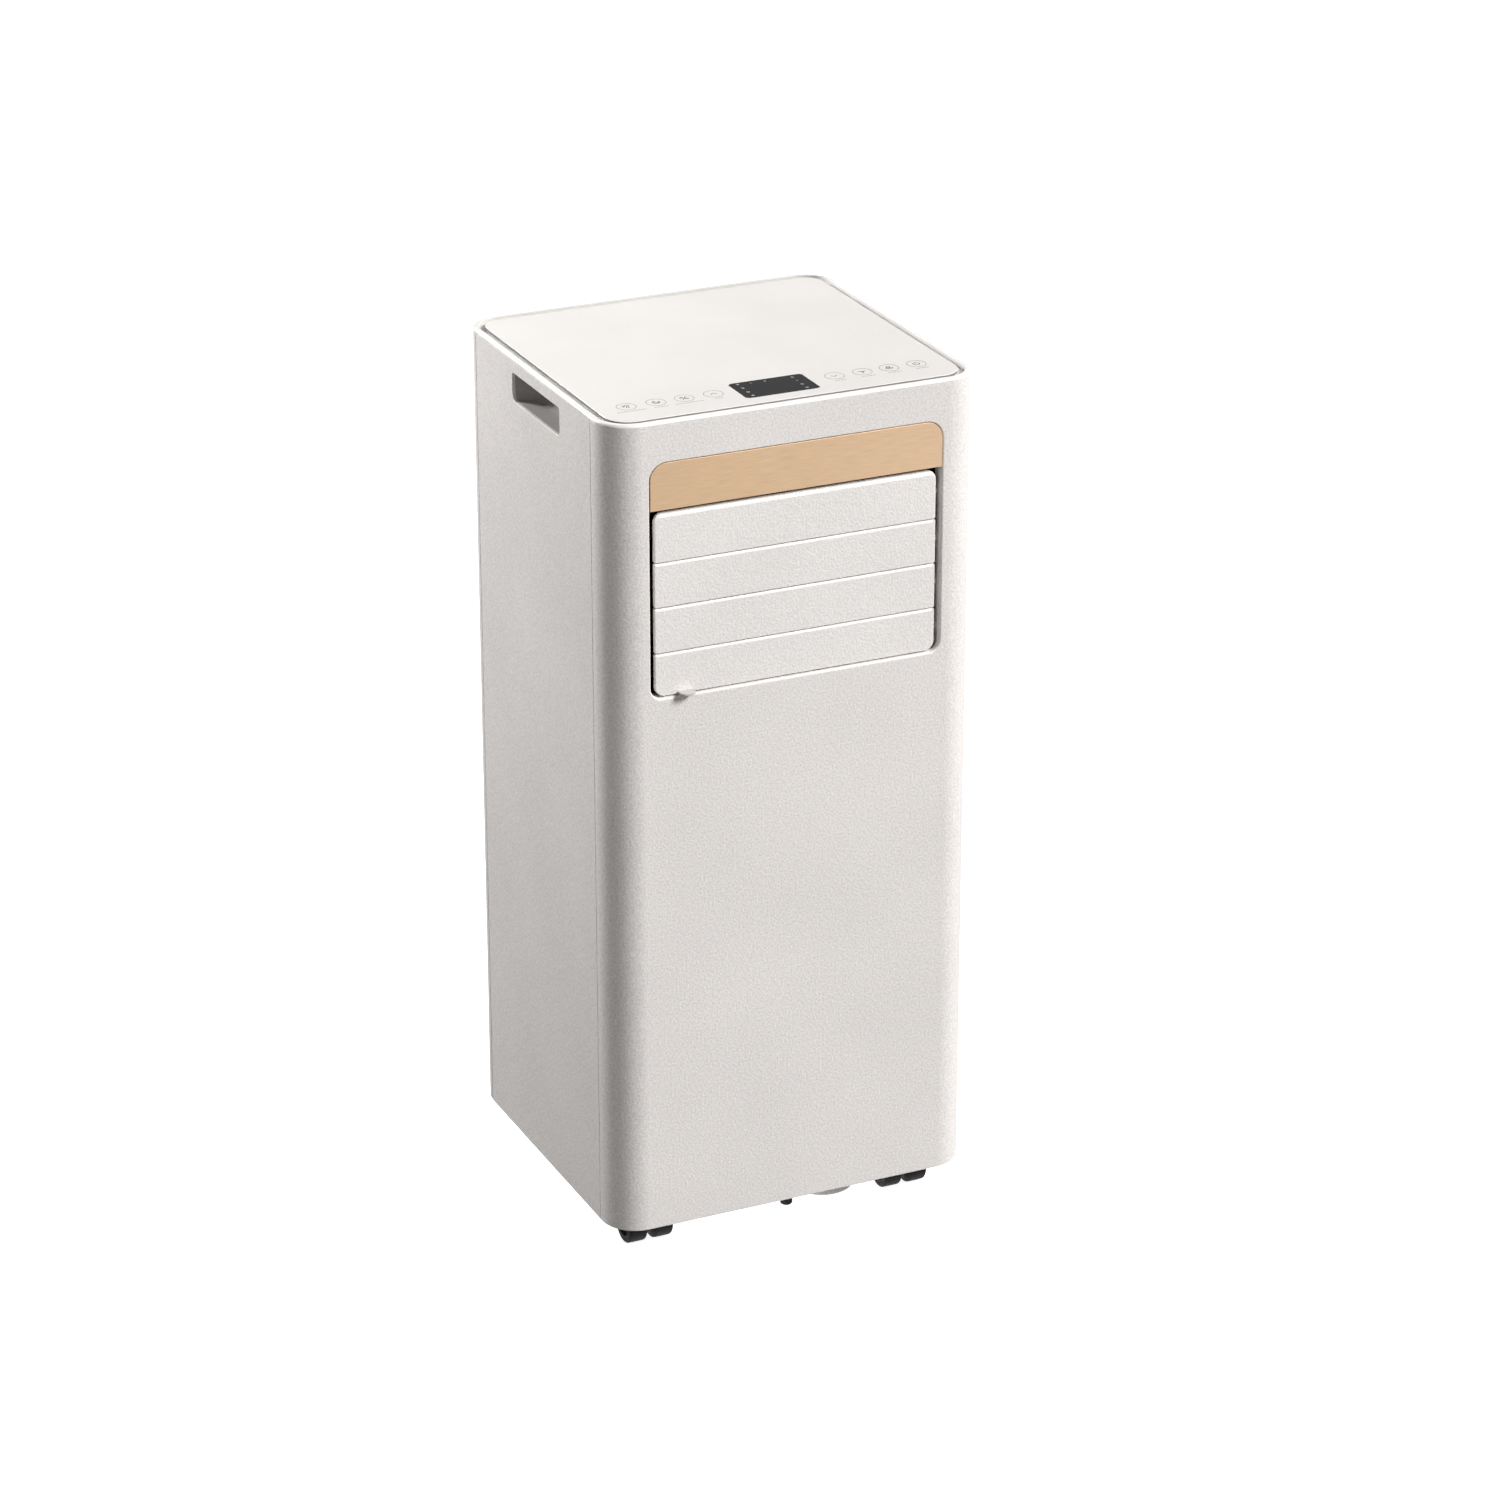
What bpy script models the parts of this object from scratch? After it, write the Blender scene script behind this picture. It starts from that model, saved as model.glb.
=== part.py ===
"""Portable air conditioner on four twin-wheel casters, in metres.

The origin is on the floor under the middle of the whole unit. +Z is up, the louvres face -Y,
the exhaust port faces +Y, and +X is to the right of someone who faces the louvres.
"""
import math

import bmesh
import bpy
from mathutils import Matrix, Vector

# Casing
WIDTH = 0.305
DEPTH = 0.282
CASING_BOTTOM = 0.030
CASING_TOP = 0.687
HEIGHT = 0.690
WALL = 0.0025
FRONT_RADIUS = 0.028
REAR_RADIUS = 0.0255
FRONT_SEAM_Y = -0.1088
REAR_SEAM_Y = 0.115
SEAM = 0.0004
GAP = 0.0003
RIGHT = WIDTH / 2
FRONT = -DEPTH / 2
REAR = DEPTH / 2

# Rim and control plate
LIP_WIDTH = 0.0042
LIP_FILLET = 0.0027
LEDGE_Z = 0.6865
LEDGE_WIDTH = 0.0150
SKIRT_BOTTOM = 0.6815
PLATE_INSET = 0.0095
PLATE_TOP = 0.6895
DISPLAY_SIZE = (0.0604, 0.0360)
DISPLAY_CENTRE = (-0.0010, -0.1008)
DISPLAY_RADIUS = 0.004

# Front opening: accent panel above, louvres below
OPENING_HALF_WIDTH = 0.1196
OPENING_BOTTOM = 0.4730
OPENING_TOP = 0.6583
OPENING_TOP_RADIUS = 0.0140
OPENING_BOTTOM_RADIUS = 0.0090
ACCENT_BOTTOM = 0.6212
ACCENT_GAP = 0.0006
ACCENT_THICKNESS = 0.0048
FLANGE = 0.0022
FLANGE_BACK = FRONT + 0.0050

# Louvre blades, top to bottom
BLADE_EDGES = (0.6190, 0.5795, 0.5441, 0.5080, 0.4737)
BLADE_HALF_WIDTH = 0.1152
BLADE_FACE_Y = FRONT + 0.0020
BLADE_THICKNESS = 0.0035
BLADE_PIVOT_Y = BLADE_FACE_Y + 0.0080
BLADE_CORNER_RADIUS = 0.0075
PIN_RADIUS = 0.0022
CRANK = (0.0080, 0.0060)
CRANK_PIN_RADIUS = 0.0014
LINK_X = (-0.1180, -0.1164)
EAR_THICKNESS = 0.0025
EAR_INSET = 0.0004
EAR_HALF_HEIGHT = 0.0045
EAR_REACH = 0.0030
PIN_END_X = 0.1212
CRANK_PIN_END_X = -0.1185
LEVER_X = (-0.0975, -0.0850)
LEVER_REACH = 0.0070
LEVER_Z = (0.4742, 0.4764)

# Outlet duct and its upright vanes
DUCT_FRONT = FLANGE_BACK + GAP
DUCT_REAR = 0.0160
DUCT_TOP = 0.6235
DUCT_WALL = FLANGE
DUCT_THROAT = (-0.0480, 0.5000)
ACCENT_BACK_HALF_WIDTH = 0.1238
ACCENT_BACK_TOP = 0.6650
VANE_X = (-0.084, -0.042, 0.0, 0.042, 0.084)
VANE_PIVOT_Y = -0.090
VANE_Z = (0.4860, 0.6160)
VANE_DEPTH = (-0.0990, -0.0740)
VANE_HALF_THICKNESS = 0.0008
VANE_PIN_RADIUS = 0.0018
VANE_PIN_BOTTOM = 0.4712
VANE_CRANK = 0.0120
VANE_CRANK_RADIUS = 0.0013
VANE_LINK_Z = (0.4790, 0.4808)
SWING_MOTOR_RADIUS = 0.0120
SWING_MOTOR_HEIGHT = 0.0180
SWING_MOTOR_PIN_BOTTOM = 0.4600

# Air paths: the evaporator blower above the deck, the condenser blower below it
DECK_Z = (0.2620, 0.2650)
UPPER_FAN = {"centre": (-0.010, 0.372), "radius": 0.070, "y": (-0.050, -0.004)}
LOWER_FAN = {"centre": (-0.030, 0.150), "radius": 0.072, "y": (0.038, 0.084)}
UPPER_SCROLL_Y = (-0.058, 0.012)
LOWER_SCROLL_Y = (0.030, 0.0945)
SCROLL_CLEARANCE = 0.007
SCROLL_GROWTH = 0.028
SCROLL_WALL = 0.0022
TONGUE_ANGLE = math.radians(60)
INLET_SHARE = 0.74
FAN_INNER_SHARE = 0.80
FAN_SLOTS = 22
FAN_SLOT_WIDTH = 0.0042
FAN_SLOT_LEAN = math.radians(38)
MOTOR_RADIUS = 0.036
SHAFT_RADIUS = 0.003
UPPER_SHAFT_END = -0.0750
LOWER_SHAFT_END = 0.0100
UPPER_MOTOR_Y = (-0.1020, -0.0590)
LOWER_MOTOR_Y = (-0.0160, 0.0270)
EVAPORATOR_BOX = ((-0.1100, 0.0720, 0.4256), (0.1100, 0.1000, 0.6500))
CONDENSER_BOX = ((-0.1100, 0.0980, 0.0600), (0.1100, 0.1260, 0.2550))
COIL_BENDS = 6
COIL_TUBE_RADIUS = 0.0036
DRIP_TRAY_BOX = ((-0.1300, 0.0620, 0.4225), (0.1180, 0.1100, 0.4480))
EXHAUST_BOX = ((-0.0800, 0.0310, 0.2680), (0.0800, 0.1330, 0.4200))
BOX_WALL = 0.0020

# Compressor, pipes and electrics
COMPRESSOR_CENTRE = (0.0660, -0.0480)
COMPRESSOR_RADIUS = 0.0550
COMPRESSOR_Z = (0.0500, 0.2400)
COMPRESSOR_SHELL = 0.0060
COMPRESSOR_FOOT = 0.0100
COMPRESSOR_FOOT_HEIGHT = 0.0030
DOME_HEIGHT = 0.0250
ACCUMULATOR_CENTRE = (-0.0150, -0.0900)
ACCUMULATOR_RADIUS = 0.0220
ACCUMULATOR_Z = (0.0860, 0.2150)
PIPE_RISERS = ((-0.1380, -0.0200), (-0.1380, 0.0200))
PIPE_BEND = 0.0090
RISER_HOLE_RADIUS = 0.0080
CONTROL_BOARD_BOX = ((-0.1300, -0.1250, 0.6700), (0.1300, -0.0750, 0.6716))
BOARD_PART_TOP = 0.6790
ELECTRICAL_BOX = ((0.1180, -0.0900, 0.2900), (0.1460, 0.0100, 0.4100))
CAPACITOR_CENTRE = (0.1320, -0.0600)
CAPACITOR_RADIUS = 0.0125
CAPACITOR_TOP = 0.4400

# Rear: intake grilles, exhaust port, drain and cable inlet
UPPER_GRILLE_Z = (0.4395, 0.6525)
LOWER_GRILLE_Z = (0.0800, 0.2560)
GRILLE_HALF_WIDTH = 0.1185
PORT_Z = 0.345
PORT_RADIUS = 0.065
PORT_WALL = 0.004
PORT_REACH = 0.0070
PORT_ROOT_Y = 0.1250
PORT_FLANGE = 0.0080
PORT_FLANGE_THICKNESS = 0.0030
GRILLE_FRAME = 0.0110
GRILLE_RIB = 0.0030
GRILLE_BAR = 0.0024
GRILLE_THICKNESS = 0.0025
FILTER_FRAME = 0.0050
FILTER_MESH = 0.0008
FILTER_FRAME_THICKNESS = 0.0030
DRAIN_CENTRE = (-0.100, 0.0500)
DRAIN_RADIUS = 0.0080
DRAIN_BORE = 0.0055
DRAIN_ROOT_Y = 0.1300
CABLE_CENTRE = (0.110, 0.0680)
GLAND_RADIUS = 0.0072
GLAND_BORE = 0.0040

# Base pan and casters
PAN_Z = (0.0375, 0.0410)
PAN_WALL_TOP = 0.0580
SUMP_CENTRE = (0.042, -0.100)
SUMP_RADIUS = 0.026
SUMP_BOTTOM = 0.0160
SUMP_WALL = 0.0030
PLUG_CENTRE = (0.0023, -0.1195)
PLUG_RADIUS = 0.0040
PAN_WALL = 0.0028
SOCKET_RADIUS = 0.0080
SOCKET_TOP = 0.0560
WHEEL_RADIUS = 0.0155
WHEEL_INNER_X = 0.0035
WHEEL_OUTER_X = 0.0185
SWIVEL_TRAIL = 0.0100
CASTERS = {
    "front_left": (-0.111, -0.109),
    "front_right": (0.111, -0.109),
    "rear_left": (-0.111, 0.100),
    "rear_right": (0.111, 0.100),
}
STEM_RADIUS = 0.004
STEM_TOP = 0.0520
AXLE_RADIUS = 0.0020
HOOD_RADII = (0.0187, 0.0166)
WEB_HALF_WIDTH = 0.0022

# Finger pockets
POCKET_Y = (-0.0505, 0.0414)
POCKET_Z = (0.6557, 0.6781)
POCKET_DEPTH = 0.0280
POCKET_BEND = 0.0160
POCKET_WALL = 0.0020
POCKET_FLANGE = 0.0060
POCKET_RADII = (0.0040, 0.0070, 0.0030, 0.0025)

# Colour, roughness, metallic
FINISHES = {
    "casing": ((0.78, 0.76, 0.74), 0.55, 0.0),
    "plate": ((0.86, 0.84, 0.81), 0.25, 0.0),
    "accent": ((0.66, 0.46, 0.28), 0.38, 0.6),
    "display": ((0.06, 0.06, 0.065), 0.12, 0.0),
    "dark": ((0.03, 0.03, 0.032), 0.6, 0.0),
    "duct": ((0.20, 0.20, 0.20), 0.7, 0.0),
    "inner": ((0.62, 0.62, 0.60), 0.6, 0.0),
    "aluminium": ((0.80, 0.80, 0.81), 0.35, 1.0),
    "copper": ((0.72, 0.36, 0.20), 0.30, 1.0),
    "steel": ((0.45, 0.46, 0.48), 0.40, 0.9),
    "painted_steel": ((0.05, 0.05, 0.055), 0.45, 0.3),
    "board": ((0.02, 0.16, 0.07), 0.45, 0.0),
    "rubber": ((0.02, 0.02, 0.02), 0.85, 0.0),
    "mesh": ((0.10, 0.10, 0.11), 0.8, 0.0),
}

# Each axis maps an outline's own u, v and thickness directions to the world
AXIS_FRAMES = {
    "X": Matrix(((0, 0, 1, 0), (1, 0, 0, 0), (0, 1, 0, 0), (0, 0, 0, 1))),
    "Y": Matrix(((1, 0, 0, 0), (0, 0, -1, 0), (0, 1, 0, 0), (0, 0, 0, 1))),
    "Z": Matrix.Identity(4),
}
AXIS_VECTORS = {"X": Vector((1, 0, 0)), "Y": Vector((0, 1, 0)), "Z": Vector((0, 0, 1))}


# ---------------------------------------------------------------- scene and materials

def clear_scene():
    for obj in list(bpy.data.objects):
        bpy.data.objects.remove(obj, do_unlink=True)


def new_collection(name):
    made = bpy.data.collections.new(name)
    bpy.context.scene.collection.children.link(made)
    return made


def finish(obj, key):
    """Gives a sub-part its own Principled material and puts it in the object's collection."""
    colour, roughness, metallic = FINISHES[key]
    material = bpy.data.materials.new(f"{obj.name}_{key}")
    material.use_nodes = True
    shader = material.node_tree.nodes["Principled BSDF"]
    shader.inputs["Base Color"].default_value = (*colour, 1.0)
    shader.inputs["Roughness"].default_value = roughness
    shader.inputs["Metallic"].default_value = metallic
    obj.data.materials.clear()
    obj.data.materials.append(material)
    return obj


# ---------------------------------------------------------------- shapes

def object_of(name, mesh):
    obj = bpy.data.objects.new(name, mesh)
    PARTS.objects.link(obj)
    return obj


def smooth(obj, angle=35):
    obj.data.shade_smooth()
    obj.data.set_sharp_from_angle(angle=math.radians(angle))
    return obj


def mesh_of_curve(name, curve_obj):
    """The evaluated curve as a closed mesh, with its caps welded, and the curve removed."""
    bpy.context.view_layer.update()
    graph = bpy.context.evaluated_depsgraph_get()
    mesh = bpy.data.meshes.new_from_object(curve_obj.evaluated_get(graph))
    mesh.transform(curve_obj.matrix_world)
    shape = bmesh.new()
    shape.from_mesh(mesh)
    bmesh.ops.remove_doubles(shape, verts=shape.verts, dist=1e-6)
    bmesh.ops.recalc_face_normals(shape, faces=shape.faces)
    shape.to_mesh(mesh)
    shape.free()
    bpy.data.objects.remove(curve_obj, do_unlink=True)
    return object_of(name, mesh)


def poly_spline(curve, points, cyclic=True):
    spline = curve.splines.new("POLY")
    spline.points.add(len(points) - 1)
    for target, point in zip(spline.points, points):
        target.co = (*point, 1.0) if len(point) == 3 else (*point, 0.0, 1.0)
    spline.use_cyclic_u = cyclic


def plate(name, loops, low, high, axis="Z"):
    """A flat piece with the given outline, and any holes after it, from low to high on an axis."""
    curve = bpy.data.curves.new(name, "CURVE")
    curve.dimensions = "2D"
    curve.fill_mode = "BOTH"
    curve.extrude = (high - low) / 2
    for loop in loops:
        poly_spline(curve, loop)
    holder = bpy.data.objects.new(name + "_curve", curve)
    PARTS.objects.link(holder)
    middle = AXIS_VECTORS[axis] * ((low + high) / 2)
    holder.matrix_world = Matrix.Translation(middle) @ AXIS_FRAMES[axis]
    return mesh_of_curve(name, holder)


def block(name, low, high):
    shape = bmesh.new()
    bmesh.ops.create_cube(shape, size=1.0)
    size = Vector(high) - Vector(low)
    middle = (Vector(high) + Vector(low)) / 2
    bmesh.ops.scale(shape, vec=size, verts=shape.verts)
    bmesh.ops.translate(shape, vec=middle, verts=shape.verts)
    mesh = bpy.data.meshes.new(name)
    shape.to_mesh(mesh)
    shape.free()
    return object_of(name, mesh)


def rod(name, start, end, radius, segments=16):
    """A solid cylinder between two points."""
    start, end = Vector(start), Vector(end)
    along = end - start
    turn = Vector((0, 0, 1)).rotation_difference(along).to_matrix().to_4x4()
    shape = bmesh.new()
    bmesh.ops.create_cone(
        shape, cap_ends=True, segments=segments, radius1=radius, radius2=radius,
        depth=along.length, matrix=Matrix.Translation((start + end) / 2) @ turn,
    )
    mesh = bpy.data.meshes.new(name)
    shape.to_mesh(mesh)
    shape.free()
    return smooth(object_of(name, mesh))


def turned(name, profile, centre=(0, 0, 0), axis="Z", steps=24):
    """A piece turned about an axis, from (radius, height) points listed from top to bottom."""
    mesh = bpy.data.meshes.new(name)
    edges = [(i, i + 1) for i in range(len(profile) - 1)]
    if profile[0][0] > 0:
        edges.append((len(profile) - 1, 0))
    mesh.from_pydata([(radius, 0.0, height) for radius, height in profile], edges, [])
    obj = object_of(name, mesh)
    screw = obj.modifiers.new("turn", "SCREW")
    screw.axis = "Z"
    screw.steps = steps
    screw.render_steps = steps
    screw.use_merge_vertices = True
    screw.merge_threshold = 1e-5
    screw.use_smooth_shade = True
    obj.location = centre
    obj.rotation_euler = {
        "X": (0, math.radians(90), 0),
        "Y": (math.radians(-90), 0, 0),
        "Z": (0, 0, 0),
    }[axis]
    return obj


def tube(name, points, radius, resolution=2):
    """A bent pipe with filled ends along a polyline."""
    curve = bpy.data.curves.new(name, "CURVE")
    curve.dimensions = "3D"
    curve.bevel_depth = radius
    curve.bevel_resolution = resolution
    curve.use_fill_caps = True
    poly_spline(curve, points, cyclic=False)
    holder = bpy.data.objects.new(name + "_curve", curve)
    PARTS.objects.link(holder)
    return smooth(mesh_of_curve(name, holder))


def boolean(obj, other, operation):
    """Cuts or joins with another mesh, which becomes a hidden helper."""
    modifier = obj.modifiers.new(other.name, "BOOLEAN")
    modifier.operation = operation
    modifier.solver = "EXACT"
    modifier.object = other
    for owner in list(other.users_collection):
        owner.objects.unlink(other)
    CUTTERS.objects.link(other)
    other.hide_render = True
    other.display_type = "WIRE"
    return obj


def cut(obj, *others):
    for other in others:
        boolean(obj, other, "DIFFERENCE")
    return obj


def join(obj, *others):
    for other in others:
        boolean(obj, other, "UNION")
    return obj


def gather(name, pieces):
    """Several pieces that don't touch each other, as one helper mesh."""
    shape = bmesh.new()
    for piece in pieces:
        shape.from_mesh(piece.data)
        bpy.data.objects.remove(piece, do_unlink=True)
    mesh = bpy.data.meshes.new(name)
    shape.to_mesh(mesh)
    shape.free()
    return object_of(name, mesh)


def set_origin(obj, point):
    """Puts a moving piece's origin on its joint axis. The helpers that shape it ride along."""
    shift = Matrix.Translation(-Vector(point))
    obj.data.transform(shift)
    for modifier in obj.modifiers:
        modifier.object.data.transform(shift)
        modifier.object.parent = obj
    obj.location = point
    return obj


def soften(obj, width, segments=2, angle=50):
    """Rounds the sharp edges."""
    bevel = obj.modifiers.new("soften", "BEVEL")
    bevel.width = width
    bevel.segments = segments
    bevel.limit_method = "ANGLE"
    bevel.angle_limit = math.radians(angle)
    return obj


# ---------------------------------------------------------------- outlines

def arc(centre, radius, start, end, steps):
    """Points on an arc, angles in degrees."""
    angles = (math.radians(start + (end - start) * i / steps) for i in range(steps + 1))
    return [(centre[0] + radius * math.cos(a), centre[1] + radius * math.sin(a)) for a in angles]


def rounded_rectangle(low, high, radii, steps=6):
    """Anticlockwise from the lower left corner. The radii go lower left, lower right, upper
    right, upper left."""
    corners = (
        (low[0], low[1], 1, 1, 180),
        (high[0], low[1], -1, 1, 270),
        (high[0], high[1], -1, -1, 0),
        (low[0], high[1], 1, -1, 90),
    )
    points = []
    for (x, y, inward_x, inward_y, start), radius in zip(corners, radii):
        if radius == 0:
            points.append((x, y))
            continue
        centre = (x + inward_x * radius, y + inward_y * radius)
        points += arc(centre, radius, start, start + 90, steps)
    return points


def casing_outline(inset, steps=10):
    """The casing's plan, a given distance inside its outer face."""
    radii = (FRONT_RADIUS - inset, FRONT_RADIUS - inset, REAR_RADIUS - inset, REAR_RADIUS - inset)
    low = (-RIGHT + inset, FRONT + inset)
    high = (RIGHT - inset, REAR - inset)
    return rounded_rectangle(low, high, radii, steps)


def cover_outline(end_y, front):
    """The C-shaped plan of a cover that wraps both front corners or both rear ones."""
    side = -1 if front else 1
    radius = FRONT_RADIUS if front else REAR_RADIUS
    face = FRONT if front else REAR
    points = []
    for inset, flip in ((0.0, 1), (WALL, -1)):
        x = RIGHT - inset
        r = radius - inset
        y = face - side * inset
        left = arc((-x + r, y - side * r), r, 180, 180 - side * 90, 10)
        right = arc((x - r, y - side * r), r, side * 90, 0, 10)
        path = [(-x, end_y)] + left + right + [(x, end_y)]
        points += path[::flip]
    return points


def front_opening(growth=0.0):
    """The outline of the hole for the accent panel and the louvres."""
    low = (-OPENING_HALF_WIDTH - growth, OPENING_BOTTOM - growth)
    high = (OPENING_HALF_WIDTH + growth, OPENING_TOP + growth)
    bottom = OPENING_BOTTOM_RADIUS + growth
    top = OPENING_TOP_RADIUS + growth
    return rounded_rectangle(low, high, (bottom, bottom, top, top))


def scroll_outline(fan, neck_top, inset):
    """A blower housing's spiral, which opens into a neck on its right."""
    cx, cz = fan["centre"]
    start = fan["radius"] + SCROLL_CLEARANCE
    turns = 30
    points = []
    for i in range(turns + 1):
        angle = TONGUE_ANGLE + (2 * math.pi - TONGUE_ANGLE) * i / turns
        radius = start + SCROLL_GROWTH * i / turns - inset
        points.append((cx + radius * math.cos(angle), cz + radius * math.sin(angle)))
    neck_left = points[0][0] + 2 * inset
    return [(neck_left, neck_top)] + points + [(points[-1][0], neck_top)]


# ---------------------------------------------------------------- casing

def build_front_cover():
    outline = cover_outline(FRONT_SEAM_Y - SEAM / 2, front=True)
    cover = plate("front_cover", [outline], CASING_BOTTOM, CASING_TOP)
    flange = plate("front_flange", [front_opening(FLANGE)], FRONT + 0.0010, FLANGE_BACK, "Y")
    hole = plate("front_hole", [front_opening()], FRONT - 0.0100, FLANGE_BACK + 0.0100, "Y")
    cut(join(cover, flange), hole)
    return finish(smooth(cover), "casing")


def build_side_panel(name, side):
    outer, inner = side * RIGHT, side * (RIGHT - WALL)
    low = (FRONT_SEAM_Y + SEAM / 2, CASING_BOTTOM)
    high = (REAR_SEAM_Y - SEAM / 2, CASING_TOP)
    outline = rounded_rectangle(low, high, (0, 0, 0, 0))
    corners = ((POCKET_Y[0], POCKET_Z[0]), (POCKET_Y[1], POCKET_Z[1]))
    window = rounded_rectangle(*corners, POCKET_RADII, steps=5)
    panel = plate(name, [outline, window], min(outer, inner), max(outer, inner), "X")
    return finish(panel, "casing")


def build_finger_pocket(name, side):
    """A scoop: its floor runs in from the lip and curves up into its back wall."""
    wall, bend = POCKET_WALL, POCKET_BEND
    lip = RIGHT - WALL - GAP
    back = lip - POCKET_DEPTH
    floor, ceiling = POCKET_Z

    def profile(grow, mouth):
        curve = arc((back + bend, floor + bend), bend + grow, 270, 180, 6)
        top = [(back - grow, ceiling + grow), (mouth, ceiling + grow)]
        return [(mouth, floor - grow)] + curve + top

    def prism(label, outline, y_low, y_high):
        mirrored = [(side * x, z) for x, z in outline]
        return plate(label, [mirrored], y_low, y_high, "Y")

    pocket = prism(name, profile(wall, lip), POCKET_Y[0] - wall, POCKET_Y[1] + wall)
    x_low, x_high = sorted((side * lip, side * (lip - wall)))
    flange = block(
        name + "_flange",
        (x_low, POCKET_Y[0] - POCKET_FLANGE, floor - POCKET_FLANGE),
        (x_high, POCKET_Y[1] + POCKET_FLANGE, ceiling + wall + GAP),
    )
    hollow = prism(name + "_hollow", profile(0.0, lip + 0.0050), *POCKET_Y)
    return finish(smooth(cut(join(pocket, flange), hollow)), "casing")


def grille_window(z_range, growth=0.0):
    half = GRILLE_HALF_WIDTH + growth
    low, high = (-half, z_range[0] - growth), (half, z_range[1] + growth)
    return rounded_rectangle(low, high, (0.004,) * 4, 3)


def build_rear_cover():
    outline = cover_outline(REAR_SEAM_Y + SEAM / 2, front=False)
    cover = plate("rear_cover", [outline], CASING_BOTTOM, CASING_TOP)
    inner, outer = REAR - 0.0100, REAR + 0.0100
    holes = [
        plate("upper_window", [grille_window(UPPER_GRILLE_Z)], inner, outer, "Y"),
        plate("lower_window", [grille_window(LOWER_GRILLE_Z)], inner, outer, "Y"),
        rod("port_hole", (0, inner, PORT_Z), (0, outer, PORT_Z), PORT_RADIUS + PORT_WALL + GAP, 40),
    ]
    for label, (x, z), radius in (
        ("drain_hole", DRAIN_CENTRE, DRAIN_RADIUS + 2 * GAP),
        ("cable_hole", CABLE_CENTRE, GLAND_RADIUS + 2 * GAP),
    ):
        holes.append(rod(label, (x, inner, z), (x, outer, z), radius))
    return finish(smooth(cut(cover, *holes)), "casing")


def build_top_rim():
    """The lip, its ledge for the control plate and a skirt inside the casing, in one section."""
    top = HEIGHT
    fillet = arc((LIP_FILLET, top - LIP_FILLET), LIP_FILLET, 180, 90, 4)
    section = fillet + [
        (LIP_WIDTH - 0.0005, top),
        (LIP_WIDTH, top - 0.0005),
        (LIP_WIDTH, LEDGE_Z),
        (LEDGE_WIDTH, LEDGE_Z),
        (LEDGE_WIDTH, LEDGE_Z - 0.0020),
        (0.0050, LEDGE_Z - 0.0020),
        (0.0050, SKIRT_BOTTOM),
        (WALL + 0.0004, SKIRT_BOTTOM),
        (WALL + 0.0004, CASING_TOP + GAP),
    ]
    section_curve = bpy.data.curves.new("rim_section", "CURVE")
    section_curve.dimensions = "2D"
    section_curve.fill_mode = "NONE"
    poly_spline(section_curve, [(inset, z) for inset, z in section])
    section_holder = bpy.data.objects.new("rim_section", section_curve)
    CUTTERS.objects.link(section_holder)
    section_holder.hide_render = True
    path = bpy.data.curves.new("rim_path", "CURVE")
    path.dimensions = "2D"
    path.fill_mode = "NONE"
    path.bevel_mode = "OBJECT"
    path.bevel_object = section_holder
    poly_spline(path, casing_outline(0.0)[::-1])
    holder = bpy.data.objects.new("rim_path", path)
    PARTS.objects.link(holder)
    rim = mesh_of_curve("top_rim", holder)
    bpy.data.objects.remove(section_holder, do_unlink=True)
    return finish(smooth(rim), "plate")


def build_top_plate():
    bottom = LEDGE_Z + GAP
    low = [DISPLAY_CENTRE[i] - DISPLAY_SIZE[i] / 2 - GAP for i in (0, 1)]
    high = [DISPLAY_CENTRE[i] + DISPLAY_SIZE[i] / 2 + GAP for i in (0, 1)]
    window = rounded_rectangle(low, high, (DISPLAY_RADIUS,) * 4)
    top_plate = plate("top_plate", [casing_outline(PLATE_INSET), window], bottom, PLATE_TOP)
    return finish(smooth(top_plate), "plate")


def build_display():
    low = [DISPLAY_CENTRE[i] - DISPLAY_SIZE[i] / 2 for i in (0, 1)]
    high = [DISPLAY_CENTRE[i] + DISPLAY_SIZE[i] / 2 for i in (0, 1)]
    lens = plate(
        "display_window", [rounded_rectangle(low, high, (DISPLAY_RADIUS - GAP,) * 4)],
        LEDGE_Z - 0.0010, PLATE_TOP,
    )
    foot = block(
        "display_foot",
        (low[0] - 0.0030, low[1] - 0.0030, LEDGE_Z - 0.0020),
        (high[0] + 0.0030, high[1] + 0.0030, LEDGE_Z),
    )
    return finish(smooth(join(lens, foot)), "display")


def build_accent_panel():
    half = OPENING_HALF_WIDTH - ACCENT_GAP
    radius = OPENING_TOP_RADIUS - ACCENT_GAP
    outline = rounded_rectangle(
        (-half, ACCENT_BOTTOM), (half, OPENING_TOP - ACCENT_GAP), (0, 0, radius, radius), 8
    )
    panel = plate("accent_panel", [outline], FRONT, FRONT + ACCENT_THICKNESS, "Y")
    return finish(smooth(panel), "accent")


# ---------------------------------------------------------------- louvres

def blade_pivot_z(index):
    return (BLADE_EDGES[index] + BLADE_EDGES[index + 1]) / 2


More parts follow.
